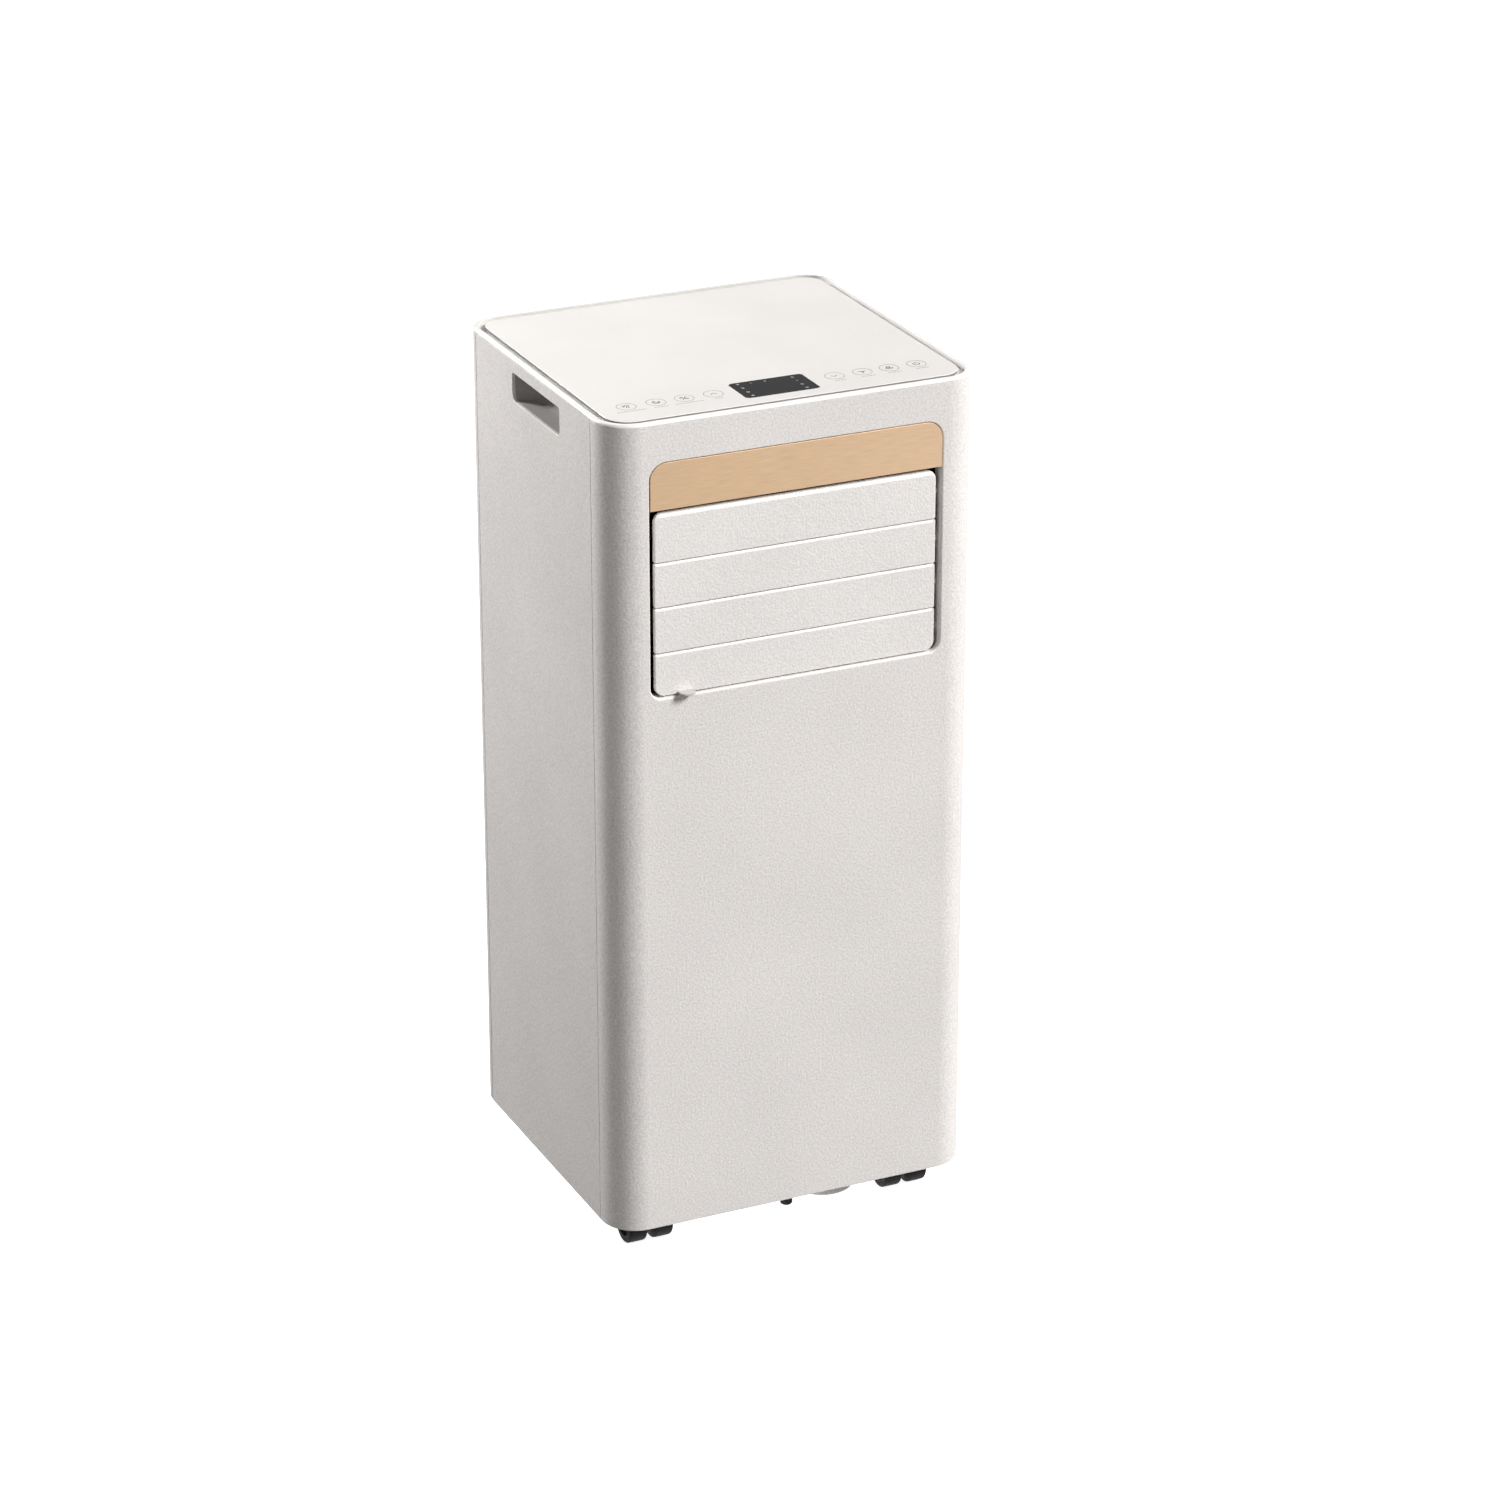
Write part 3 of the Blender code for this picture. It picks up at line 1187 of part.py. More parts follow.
clear_scene()
PARTS = new_collection("portable_air_conditioner")
CUTTERS = new_collection("cutters")

build_front_cover()
build_side_panel("left_side_panel", -1)
build_side_panel("right_side_panel", 1)
build_finger_pocket("left_finger_pocket", -1)
build_finger_pocket("right_finger_pocket", 1)
build_rear_cover()
build_top_rim()
build_top_plate()
build_display()
build_accent_panel()

build_outlet_duct()
for blade_index in range(4):
    build_louver_blade(blade_index)
build_louver_link()
for vane_index in range(len(VANE_X)):
    build_vane(vane_index)
build_vane_link()
build_swing_motor()

upper_neck_top = OPENING_BOTTOM - DUCT_WALL - GAP
lower_neck_top = DECK_Z[1] + 0.0027
build_scroll("evaporator_blower_housing", UPPER_FAN, UPPER_SCROLL_Y, upper_neck_top)
build_fan_wheel("evaporator_fan", UPPER_FAN, UPPER_SHAFT_END)
build_fan_motor("evaporator_fan_motor", UPPER_FAN, UPPER_MOTOR_Y)
build_coil("evaporator", EVAPORATOR_BOX)
build_drip_tray()
build_scroll("condenser_blower_housing", LOWER_FAN, LOWER_SCROLL_Y, lower_neck_top)
build_fan_wheel("condenser_fan", LOWER_FAN, LOWER_SHAFT_END)
build_fan_motor("condenser_fan_motor", LOWER_FAN, LOWER_MOTOR_Y)
build_coil("condenser", CONDENSER_BOX)
build_exhaust_duct()
build_exhaust_collar()
build_deck()
build_compressor()
build_accumulator()
build_pipes()
build_control_board()
build_electrical_box()

build_rear_grille("upper_intake_grille", UPPER_GRILLE_Z, 18)
build_rear_grille("lower_intake_grille", LOWER_GRILLE_Z, 15)
build_filter("upper_filter", UPPER_GRILLE_Z)
build_filter("lower_filter", LOWER_GRILLE_Z)

build_base_pan()
build_drain_plug()
build_drain_cap()
build_cable_gland()
for caster_name, caster_place in CASTERS.items():
    build_caster(caster_name, caster_place)
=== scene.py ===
"""Looks of the portable air conditioner: detailed pieces, materials, floor, lights and camera.

Everything is in metres in the part's own frame: +Z up, louvres to -Y, exhaust port to +Y.
"""
import math

import bmesh
import bpy
from mathutils import Matrix, Vector


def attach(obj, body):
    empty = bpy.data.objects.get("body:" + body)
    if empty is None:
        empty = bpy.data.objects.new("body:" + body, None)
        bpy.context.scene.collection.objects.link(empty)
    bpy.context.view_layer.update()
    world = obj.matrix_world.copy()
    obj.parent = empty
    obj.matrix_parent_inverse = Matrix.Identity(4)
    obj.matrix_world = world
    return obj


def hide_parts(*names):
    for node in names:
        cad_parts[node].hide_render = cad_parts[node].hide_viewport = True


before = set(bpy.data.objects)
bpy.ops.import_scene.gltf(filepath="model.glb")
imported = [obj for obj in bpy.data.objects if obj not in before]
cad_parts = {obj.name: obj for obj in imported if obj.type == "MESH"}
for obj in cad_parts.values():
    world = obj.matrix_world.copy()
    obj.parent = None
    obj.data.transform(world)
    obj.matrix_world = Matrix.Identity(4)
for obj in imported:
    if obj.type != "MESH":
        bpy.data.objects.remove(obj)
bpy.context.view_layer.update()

# ---------------------------------------------------------------- sizes
# They are the CAD part's, except that UPRIGHT_SEAM is wider, so that the seams show, and LEVER_Z is thinner.
RIGHT, FRONT, REAR = 0.1525, -0.141, 0.141
CASING_BOTTOM, CASING_TOP, HEIGHT = 0.030, 0.687, 0.690
WALL, GAP, SEAM, UPRIGHT_SEAM = 0.0025, 0.0003, 0.0004, 0.0008
FRONT_RADIUS, REAR_RADIUS = 0.028, 0.0255
FRONT_SEAM_Y, REAR_SEAM_Y = -0.1088, 0.115
LIP_WIDTH, LIP_FILLET = 0.0042, 0.0027
LEDGE_Z, LEDGE_WIDTH, SKIRT_BOTTOM = 0.6865, 0.0150, 0.6815
PLATE_INSET, PLATE_TOP = 0.0095, 0.6895
DISPLAY_SIZE, DISPLAY_CENTRE, DISPLAY_RADIUS = (0.0604, 0.0360), (-0.0010, -0.1008), 0.004
OPENING_HALF_WIDTH, OPENING_BOTTOM, OPENING_TOP = 0.1196, 0.4730, 0.6583
OPENING_TOP_RADIUS, OPENING_BOTTOM_RADIUS = 0.0140, 0.0090
ACCENT_BOTTOM, ACCENT_GAP, ACCENT_THICKNESS = 0.6212, 0.0006, 0.0048
FLANGE, FLANGE_BACK = 0.0022, -0.1360
BLADE_EDGES = (0.6190, 0.5795, 0.5441, 0.5080, 0.4737)
BLADE_HALF_WIDTH, BLADE_FACE_Y, BLADE_THICKNESS = 0.1152, -0.1390, 0.0035
BLADE_PIVOT_Y, BLADE_CORNER_RADIUS = -0.1310, 0.0075
CRANK = (0.0080, 0.0060)
LEVER_X, LEVER_Z, LEVER_REACH = (-0.0975, -0.0850), (0.4745, 0.4763), 0.0070
POCKET_Y, POCKET_Z = (-0.0505, 0.0414), (0.6557, 0.6781)
POCKET_DEPTH, POCKET_BEND, POCKET_WALL = 0.0280, 0.0160, 0.0020
POCKET_RADII = (0.0040, 0.0070, 0.0030, 0.0025)
UPPER_GRILLE_Z, LOWER_GRILLE_Z, GRILLE_HALF_WIDTH = (0.4395, 0.6525), (0.0800, 0.2560), 0.1185
GRILLE_FRAME, GRILLE_RIB, GRILLE_BAR, GRILLE_THICKNESS = 0.0110, 0.0030, 0.0024, 0.0025
PORT_Z, PORT_RADIUS, PORT_WALL, PORT_REACH, PORT_ROOT_Y = 0.345, 0.065, 0.004, 0.0070, 0.1250
PORT_FLANGE, PORT_FLANGE_THICKNESS = 0.0080, 0.0030
DRAIN_CENTRE, DRAIN_RADIUS, DRAIN_BORE, DRAIN_ROOT_Y = (-0.100, 0.0500), 0.0080, 0.0055, 0.1300
CABLE_CENTRE, GLAND_RADIUS, GLAND_BORE = (0.110, 0.0680), 0.0072, 0.0040
PAN_Z, PAN_WALL_TOP, PAN_WALL = (0.0375, 0.0410), 0.0580, 0.0028
SUMP_CENTRE, SUMP_RADIUS, SUMP_BOTTOM = (0.042, -0.100), 0.026, 0.0160
PLUG_CENTRE, PLUG_RADIUS = (0.0023, -0.1195), 0.0040
WHEEL_RADIUS, WHEEL_INNER_X, WHEEL_OUTER_X, SWIVEL_TRAIL = 0.0155, 0.0035, 0.0185, 0.0100
SOCKET_RADIUS, SOCKET_TOP, STEM_RADIUS, STEM_TOP, AXLE_RADIUS = 0.0080, 0.0560, 0.004, 0.0520, 0.0020
HOOD_RADII = (0.0187, 0.0166)
SUMP_WALL, LEDGE_THICKNESS, PLATE_SEAT = 0.0030, 0.0020, PLATE_TOP - 0.0006
EAR_THICKNESS, PIN_RADIUS, PIN_END, CRANK_PIN_RADIUS, CRANK_PIN_END = 0.0025, 0.0022, 0.1212, 0.0014, 0.1185
KEY_Y, CAPTION_Y, KEY_RADIUS, KEY_SYMBOL_HALF, DISPLAY_SYMBOL_HALF = -0.0989, -0.1094, 0.0074, 0.0036, 0.0013
THIN_STROKE, CAPTION_STROKE, SYMBOL_STROKE = 0.00034, 0.00055, 0.00076
OVERLAP = 0.0010        # how far joined pieces run into each other
THROUGH = 0.01          # how far a cutter runs on past what it cuts
CASTERS = {
    "front_left": (-0.111, -0.109), "front_right": (0.111, -0.109),
    "rear_left": (-0.111, 0.100), "rear_right": (0.111, 0.100),
}

AXIS_FRAMES = {
    "X": Matrix(((0, 0, 1, 0), (1, 0, 0, 0), (0, 1, 0, 0), (0, 0, 0, 1))),
    "Y": Matrix(((1, 0, 0, 0), (0, 0, -1, 0), (0, 1, 0, 0), (0, 0, 0, 1))),
    "Z": Matrix.Identity(4),
}


# ---------------------------------------------------------------- materials

MIX_SHARE, MIX_FIRST, MIX_SECOND, MIX_RESULT = 0, 6, 7, 2       # a colour mix node's sockets


def graph(name):
    material = bpy.data.materials.new(name)
    material.use_nodes = True
    tree = material.node_tree
    return material, tree, tree.nodes["Principled BSDF"]


def node(tree, kind, settings=None, **inputs):
    made = tree.nodes.new(kind)
    for key, value in (settings or {}).items():
        setattr(made, key, value)
    for key, value in inputs.items():
        made.inputs[key.replace("_", " ")].default_value = value
    return made


def surface_coordinates(tree, stretch=(1, 1, 1)):
    place = node(tree, "ShaderNodeTexCoord")
    mapping = node(tree, "ShaderNodeMapping", Scale=stretch)
    tree.links.new(place.outputs["Object"], mapping.inputs["Vector"])
    return mapping.outputs["Vector"]


def ramp(tree, factor, low, high, start=0.0, end=1.0):
    made = node(tree, "ShaderNodeValToRGB")
    stops = made.color_ramp.elements
    stops[0].position, stops[1].position = start, end
    stops[0].color, stops[1].color = low, high
    tree.links.new(factor, made.inputs["Fac"])
    return made.outputs["Color"]


def grey(level):
    return (level, level, level, 1.0)


def moulded(name, colour, roughness, grain, depth, speckle, drift=0.03, stretch=(1, 1, 1), **shader):
    """A plastic, paint or metal with a fine grain, a slow drift of tone and an uneven gloss.

    Grain is the grain's size in metres, depth its bump and speckle how far it darkens the colour.
    """
    material, tree, bsdf = graph(name)
    links = tree.links
    where = surface_coordinates(tree, stretch)
    fine = node(tree, "ShaderNodeTexNoise", Scale=1 / grain, Detail=2.0, Roughness=0.45)
    slow = node(tree, "ShaderNodeTexNoise", Scale=9.0, Detail=3.0, Roughness=0.5)
    links.new(where, fine.inputs["Vector"])
    links.new(surface_coordinates(tree), slow.inputs["Vector"])
    low = [c * (1 - drift) for c in colour] + [1.0]
    high = [min(1.0, c * (1 + drift)) for c in colour] + [1.0]
    toned = ramp(tree, slow.outputs["Fac"], low, high, 0.3, 0.7)
    specks = ramp(tree, fine.outputs["Fac"], grey(1 - speckle), grey(1.0), 0.25, 0.75)
    blend = node(tree, "ShaderNodeMix", {"data_type": "RGBA", "blend_type": "MULTIPLY"})
    blend.inputs[MIX_SHARE].default_value = 1.0
    links.new(toned, blend.inputs[MIX_FIRST])
    links.new(specks, blend.inputs[MIX_SECOND])
    links.new(blend.outputs[MIX_RESULT], bsdf.inputs["Base Color"])
    gloss = ramp(tree, fine.outputs["Fac"], grey(roughness - 0.05), grey(roughness + 0.05), 0.3, 0.7)
    links.new(gloss, bsdf.inputs["Roughness"])
    bump = node(tree, "ShaderNodeBump", Strength=depth, Distance=0.0006)
    links.new(fine.outputs["Fac"], bump.inputs["Height"])
    links.new(bump.outputs["Normal"], bsdf.inputs["Normal"])
    for key, value in shader.items():
        bsdf.inputs[key.replace("_", " ")].default_value = value
    return material


def paint_light_or_shade(material, gain, axis, start, end):
    """Paints light or shade into the colour: multiplies it by a gain that comes in from start to end along one axis
    of the part.
    """
    tree = material.node_tree
    bsdf = tree.nodes["Principled BSDF"]
    plain = bsdf.inputs["Base Color"].links[0].from_socket
    split = node(tree, "ShaderNodeSeparateXYZ")
    tree.links.new(surface_coordinates(tree), split.inputs["Vector"])
    share = node(tree, "ShaderNodeMapRange", From_Min=start, From_Max=end)
    tree.links.new(split.outputs[axis], share.inputs["Value"])
    blend = node(tree, "ShaderNodeMix", {"data_type": "RGBA", "blend_type": "MULTIPLY"})
    tree.links.new(share.outputs["Result"], blend.inputs[MIX_SHARE])
    tree.links.new(plain, blend.inputs[MIX_FIRST])
    blend.inputs[MIX_SECOND].default_value = (*gain, 1)
    tree.links.new(blend.outputs[MIX_RESULT], bsdf.inputs["Base Color"])


def ribbed(name, dark, light, pitch, axis, roughness, metallic=0.0, second_axis=None):
    """Fins or threads: fine parallel ridges along one or two axes, in colour and in bump; the colour darkens in the
    troughs as painted shade.
    """
    material, tree, bsdf = graph(name)
    links = tree.links
    where = surface_coordinates(tree)
    waves = []
    for direction in filter(None, (axis, second_axis)):
        scale = math.pi / 10 / pitch
        wave = node(tree, "ShaderNodeTexWave", {"bands_direction": direction}, Scale=scale, Distortion=0.0)
        links.new(where, wave.inputs["Vector"])
        waves.append(wave.outputs["Fac"])
    height = waves[0]
    if second_axis:
        both = node(tree, "ShaderNodeMath", {"operation": "MAXIMUM"})
        links.new(waves[0], both.inputs[0])
        links.new(waves[1], both.inputs[1])
        height = both.outputs[0]
    # the crests keep the thing's own colour; the dark troughs between the ridges are painted shade
    links.new(ramp(tree, height, (*dark, 1), (*light, 1), 0.2, 0.8), bsdf.inputs["Base Color"])
    noise = node(tree, "ShaderNodeTexNoise", Scale=60.0, Detail=4.0)
    links.new(where, noise.inputs["Vector"])
    gloss = ramp(tree, noise.outputs["Fac"], grey(roughness - 0.08), grey(roughness + 0.08), 0.3, 0.7)
    links.new(gloss, bsdf.inputs["Roughness"])
    bump = node(tree, "ShaderNodeBump", Strength=0.6, Distance=pitch / 2)
    links.new(height, bump.inputs["Height"])
    links.new(bump.outputs["Normal"], bsdf.inputs["Normal"])
    bsdf.inputs["Metallic"].default_value = metallic
    return material


CASING = moulded("casing_plastic", (0.842, 0.804, 0.777), 0.52, grain=0.0017, depth=0.33, speckle=0.24)
BLADE = moulded("blade_plastic", (0.845, 0.810, 0.785), 0.50, grain=0.0017, depth=0.55, speckle=0.15)
# painted shade: the lever's tab is a darker copy of the blade plastic, so that its lit top reads as shaded
SHADED_TAB = moulded("tab_plastic_painted_shade", (0.560, 0.540, 0.522), 0.52, grain=0.0012, depth=0.15, speckle=0.06)
RIM = moulded("rim_plastic", (0.860, 0.835, 0.805), 0.34, grain=0.0009, depth=0.03, speckle=0.01)
# painted shade: the rim's colour darkens towards the rear, from y = 0.105 to 0.132
paint_light_or_shade(RIM, (0.78, 0.78, 0.775), "Y", 0.105, 0.132)
PLATE = moulded("control_plate", (0.770, 0.745, 0.722), 0.22, grain=0.0012, depth=0.012, speckle=0.008)
DISPLAY = moulded("display_lens", (0.030, 0.030, 0.031), 0.16, grain=0.0020, depth=0.01, speckle=0.05)
ACCENT = moulded(
    "brushed_accent", (0.820, 0.565, 0.350), 0.40, grain=0.0005, depth=0.08, drift=0.02, speckle=0.20,
    stretch=(0.03, 1, 1), Metallic=0.15,
)
# painted sheen: the accent's colour grows brighter towards +X, the side the key light comes from
paint_light_or_shade(ACCENT, (1.09, 1.11, 1.15), "X", -0.12, 0.12)
DUCT = moulded("duct_plastic", (0.760, 0.730, 0.705), 0.62, grain=0.0012, depth=0.10, speckle=0.08)
# painted shade: past y = -0.128, deep inside the outlet, the duct's colour turns nearly black
paint_light_or_shade(DUCT, (0.06, 0.06, 0.06), "Y", -0.1285, -0.1280)
# painted shade: the finger pocket's liner is coloured about half as bright as the casing, for the shade inside the
# scoop
SHADED_POCKET = moulded("pocket_plastic_painted_shade", (0.400, 0.380, 0.367), 0.55, grain=0.0014, depth=0.20, speckle=0.08)
DARK = moulded(
    "dark_plastic", (0.011, 0.011, 0.012), 0.48, grain=0.0010, depth=0.12, speckle=0.15, Specular_IOR_Level=0.25,
)
GASKET = moulded("gasket_rubber", (0.200, 0.196, 0.191), 0.60, grain=0.0008, depth=0.12, speckle=0.10)
TYRE = moulded(
    "wheel_plastic", (0.008, 0.008, 0.009), 0.55, grain=0.0007, depth=0.18, speckle=0.20, Specular_IOR_Level=0.22,
)
RUBBER = moulded("stopper_rubber", (0.018, 0.018, 0.018), 0.72, grain=0.0006, depth=0.16, speckle=0.20)
INNER = moulded("inner_plastic", (0.600, 0.595, 0.580), 0.58, grain=0.0012, depth=0.12, speckle=0.05)
STEEL = moulded("zinc_steel", (0.480, 0.490, 0.500), 0.36, grain=0.0016, depth=0.06, speckle=0.10, Metallic=0.9)
PAINTED = moulded("black_paint", (0.030, 0.030, 0.032), 0.36, grain=0.0014, depth=0.08, speckle=0.15)
COPPER = moulded("copper", (0.720, 0.360, 0.200), 0.28, grain=0.0018, depth=0.05, speckle=0.12, Metallic=1.0)
BOARD = moulded("circuit_board", (0.020, 0.150, 0.065), 0.42, grain=0.0014, depth=0.08, speckle=0.25)
PRINT = moulded("key_print", (0.070, 0.068, 0.066), 0.55, grain=0.0008, depth=0.02, speckle=0.05)
GLOW = moulded("display_print", (0.560, 0.560, 0.560), 0.50, grain=0.0008, depth=0.02, speckle=0.05)
FINS = ribbed("coil_fins", (0.16, 0.16, 0.165), (0.82, 0.82, 0.83), 0.0018, "X", 0.38, metallic=0.9)
MESH = ribbed("filter_mesh", (0.012, 0.012, 0.013), (0.120, 0.120, 0.125), 0.0012, "X", 0.75, second_axis="Z")


# ---------------------------------------------------------------- outlines

def arc(centre, radius, start, end, steps):
    angles = (math.radians(start + (end - start) * i / steps) for i in range(steps + 1))
    return [(centre[0] + radius * math.cos(a), centre[1] + radius * math.sin(a)) for a in angles]


def corner(x, y, radius, start, end, steps):
    """The rounding of a square corner at x, y, from one to the next of the angles 0, 90, 180 and 270."""
    middle = math.radians((start + end) / 2)
    centre = (x - math.copysign(radius, math.cos(middle)), y - math.copysign(radius, math.sin(middle)))
    return arc(centre, radius, start, end, steps)


def rounded_rectangle(low, high, radii, steps=8):
    """Anticlockwise from the lower left. Radii: lower left, lower right, upper right, upper left."""
    corners = ((low[0], low[1], 180), (high[0], low[1], 270), (high[0], high[1], 0), (low[0], high[1], 90))
    points = []
    for (x, y, start), radius in zip(corners, radii):
        points += corner(x, y, radius, start, start + 90, steps) if radius else [(x, y)]
    return points


def outward(points):
    """The mitred outward normal at each point of an anticlockwise outline."""
    sides = []
    for (ax, ay), (bx, by) in zip(points, points[1:] + points[:1]):
        length = math.hypot(bx - ax, by - ay)
        sides.append(((by - ay) / length, (ax - bx) / length))
    normals = []
    for (ax, ay), (bx, by) in zip(sides[-1:] + sides[:-1], sides):
        share = max(0.2, 1 + ax * bx + ay * by)
        normals.append(((ax + bx) / share, (ay + by) / share))
    return normals


ROUND = [(1 - math.sin(a), 1 - math.cos(a)) for a in (math.radians(t) for t in (0, 15, 30, 45, 60, 75, 90))]
SOFT = [(1 - math.sin(a), 1 - math.cos(a)) for a in (math.radians(t) for t in (0, 30, 60, 90))]
CHAMFER = [(1.0, 0.0), (0.92, 0.01), (0.03, 0.54), (0.0, 0.62)]
SHOULDER = [(1.0, 0.0), (0.95, 0.01), (0.60, 0.17), (0.25, 0.37), (0.08, 0.49), (0.0, 0.58)]


# ---------------------------------------------------------------- meshes

def new_object(name, shape):
    bmesh.ops.recalc_face_normals(shape, faces=shape.faces)
    mesh = bpy.data.meshes.new(name)
    shape.to_mesh(mesh)
    shape.free()
    obj = bpy.data.objects.new(name, mesh)
    bpy.context.scene.collection.objects.link(obj)
    return obj


def lofted(name, rings, closed=False, folded=False):
    """A solid through rings of points. Closed rings join the last to the first, like a tyre.

    A folded ring runs out along one side of a wall and back along the other, so its ends are strips of quads.
    """
    shape = bmesh.new()
    rows = [[shape.verts.new(point) for point in ring] for ring in rings]
    pairs = list(zip(rows, rows[1:])) + ([(rows[-1], rows[0])] if closed else [])
    for lower, upper in pairs:
        for i in range(len(lower)):
            j = (i + 1) % len(lower)
            shape.faces.new((lower[i], lower[j], upper[j], upper[i]))
    for row in [] if closed else [rows[0][::-1], rows[-1]]:
        back = row[::-1]
        if folded:
            for i in range(len(row) // 2 - 1):
                shape.faces.new((row[i], row[i + 1], back[i + 1], back[i]))
        else:
            shape.faces.new(row)
    return new_object(name, shape)


def edge_radii(points, radius):
    """A fillet radius at each point: one number, or top, side and bottom by where the point faces."""
    normals = outward(points)
    if isinstance(radius, (int, float)):
        return normals, [radius] * len(points)
    top, side, bottom = radius
    radii = []
    for nx, nz in normals:
        length = math.hypot(nx, nz)
        up, across = nz / length, nx / length
        radii.append((top if up > 0 else bottom) * up * up + side * across * across)
    return normals, radii


def solid(name, outline, low, high, axis="Z", low_edge=0.0, high_edge=0.0, low_profile=SOFT, high_profile=SOFT,
          folded=False):
    """A plate with this outline, its edges at the low and the high end rounded by a profile."""
    place = AXIS_FRAMES[axis]
    rings = []
    way = 1 if high > low else -1
    for level, sign, radius, profile in ((low, way, low_edge, low_profile), (high, -way, high_edge, high_profile)):
        normals, radii = edge_radii(outline, radius)
        steps = profile if any(radii) else [(0.0, 0.0)]
        made = []
        for inset, depth in steps:
            ring = []
            for (u, v), (nu, nv), r in zip(outline, normals, radii):
                along = level + sign * depth * r
                if axis == "Y":
                    along = -along
                ring.append(place @ Vector((u - nu * inset * r, v - nv * inset * r, along)))
            made.append(ring)
        rings.append(made if level == low else made[::-1])
    return lofted(name, rings[0] + rings[1], folded=folded)


def opening_cutter(name, outline, face, inner, axis, radius, profile=ROUND):
    """What cuts a hole whose edge at the face is rounded over by the radius."""
    place = AXIS_FRAMES[axis]
    normals, radii = edge_radii(outline, radius)
    way = 1 if inner > face else -1
    levels = [(1.0, -0.02)] + [(grow, depth) for grow, depth in profile] + [(0.0, None)]
    rings = []
    for grow, depth in levels:
        ring = []
        for (u, v), (nu, nv), r in zip(outline, normals, radii):
            along = inner if depth is None else face + way * (depth if depth < 0 else depth * r)
            if axis == "Y":
                along = -along
            ring.append(place @ Vector((u + nu * grow * r, v + nv * grow * r, along)))
        rings.append(ring)
    return lofted(name, rings)


def block(name, low, high):
    outline = rounded_rectangle((low[0], low[1]), (high[0], high[1]), (0, 0, 0, 0))
    return solid(name, outline, low[2], high[2])


def turned(name, profile, centre, axis, steps):
    """A piece turned about an axis through centre, from (radius, height) points."""
    turn = {"X": Matrix.Rotation(math.radians(90), 4, "Y"), "Y": Matrix.Rotation(math.radians(-90), 4, "X"),
            "Z": Matrix.Identity(4)}[axis]
    place = Matrix.Translation(centre) @ turn
    shape = bmesh.new()
    rows = []
    for radius, height in profile:
        if radius == 0:
            rows.append([shape.verts.new(place @ Vector((0, 0, height)))])
            continue
        angles = (2 * math.pi * i / steps for i in range(steps))
        rows.append([shape.verts.new(place @ Vector((radius * math.cos(a), radius * math.sin(a), height)))
                     for a in angles])
    pairs = list(zip(rows, rows[1:]))
    if profile[0][0] and profile[-1][0]:
        pairs.append((rows[-1], rows[0]))
    for first, second in pairs:
        for i in range(steps):
            j = (i + 1) % steps
            corners = [first[i % len(first)], first[j % len(first)], second[j % len(second)], second[i % len(second)]]
            face = list(dict.fromkeys(corners))
            if len(face) > 2:
                shape.faces.new(face)
    return new_object(name, shape)


def rod(name, start, end, radius, steps, edge=0.0):
    start, end = Vector(start), Vector(end)
    along = end - start
    turn = Vector((0, 0, 1)).rotation_difference(along).to_matrix().to_4x4()
    place = Matrix.Translation(start) @ turn
    rings = []
    for radius_at, height in ((radius - edge, 0), (radius, edge), (radius, along.length - edge),
                              (radius - edge, along.length)):
        rings.append([place @ Vector((radius_at * math.cos(a), radius_at * math.sin(a), height))
                      for a in (2 * math.pi * i / steps for i in range(steps))])
    return lofted(name, rings if edge else rings[1:3])


def apply_modifiers(obj):
    bpy.context.view_layer.update()
    graph_now = bpy.context.evaluated_depsgraph_get()
    mesh = bpy.data.meshes.new_from_object(obj.evaluated_get(graph_now))
    obj.modifiers.clear()
    obj.data = mesh
    return obj


def boolean(obj, others, operation):
    for other in others:
        modifier = obj.modifiers.new(other.name, "BOOLEAN")
        modifier.operation = operation
        modifier.solver = "EXACT"
        modifier.object = other
    apply_modifiers(obj)
    for other in others:
        bpy.data.objects.remove(other, do_unlink=True)
    return obj


def cut(obj, *others):
    return boolean(obj, others, "DIFFERENCE")


def join(obj, *others):
    return boolean(obj, others, "UNION")


def merge(obj, *others):
    """Adds pieces that stand clear of each other, or only meet, without a Boolean."""
    shape = bmesh.new()
    for piece in (obj, *others):
        shape.from_mesh(piece.data)
    shape.to_mesh(obj.data)
    shape.free()
    for other in others:
        bpy.data.objects.remove(other, do_unlink=True)
    return obj


def dress(obj, material, body="casing", nodes=(), angle=32):
    """Smooth shading with crisp creases, the material, the body it rides on and what it replaces."""
    obj.data.materials.clear()
    obj.data.materials.append(material)
    obj.data.shade_smooth()
    obj.data.set_sharp_from_angle(angle=math.radians(angle))
    weighted = obj.modifiers.new("weighted", "WEIGHTED_NORMAL")
    weighted.keep_sharp = True
    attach(obj, body)
    if nodes:
        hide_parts(*nodes)
    return obj


# ---------------------------------------------------------------- casing

def cover_outline(end_y, front):
    """The C-shaped plan of a cover: out along its outer face and back along its inner one."""
    side = -1 if front else 1
    radius = FRONT_RADIUS if front else REAR_RADIUS
    face = FRONT if front else REAR
    points = []
    for inset, flip in ((0.0, 1), (WALL, -1)):
        x, r, y = RIGHT - inset, radius - inset, face - side * inset
        left = corner(-x, y, r, 180, 180 - side * 90, 24)
        right = corner(x, y, r, side * 90, 0, 24)
        path = [(-x, end_y)] + left + right + [(x, end_y)]
        points += path[::flip]
    return points if front else points[::-1]


def front_opening(growth=0.0):
    low = (-OPENING_HALF_WIDTH - growth, OPENING_BOTTOM - growth)
    high = (OPENING_HALF_WIDTH + growth, OPENING_TOP + growth)
    bottom, top = OPENING_BOTTOM_RADIUS + growth, OPENING_TOP_RADIUS + growth
    return rounded_rectangle(low, high, (bottom, bottom, top, top), 12)


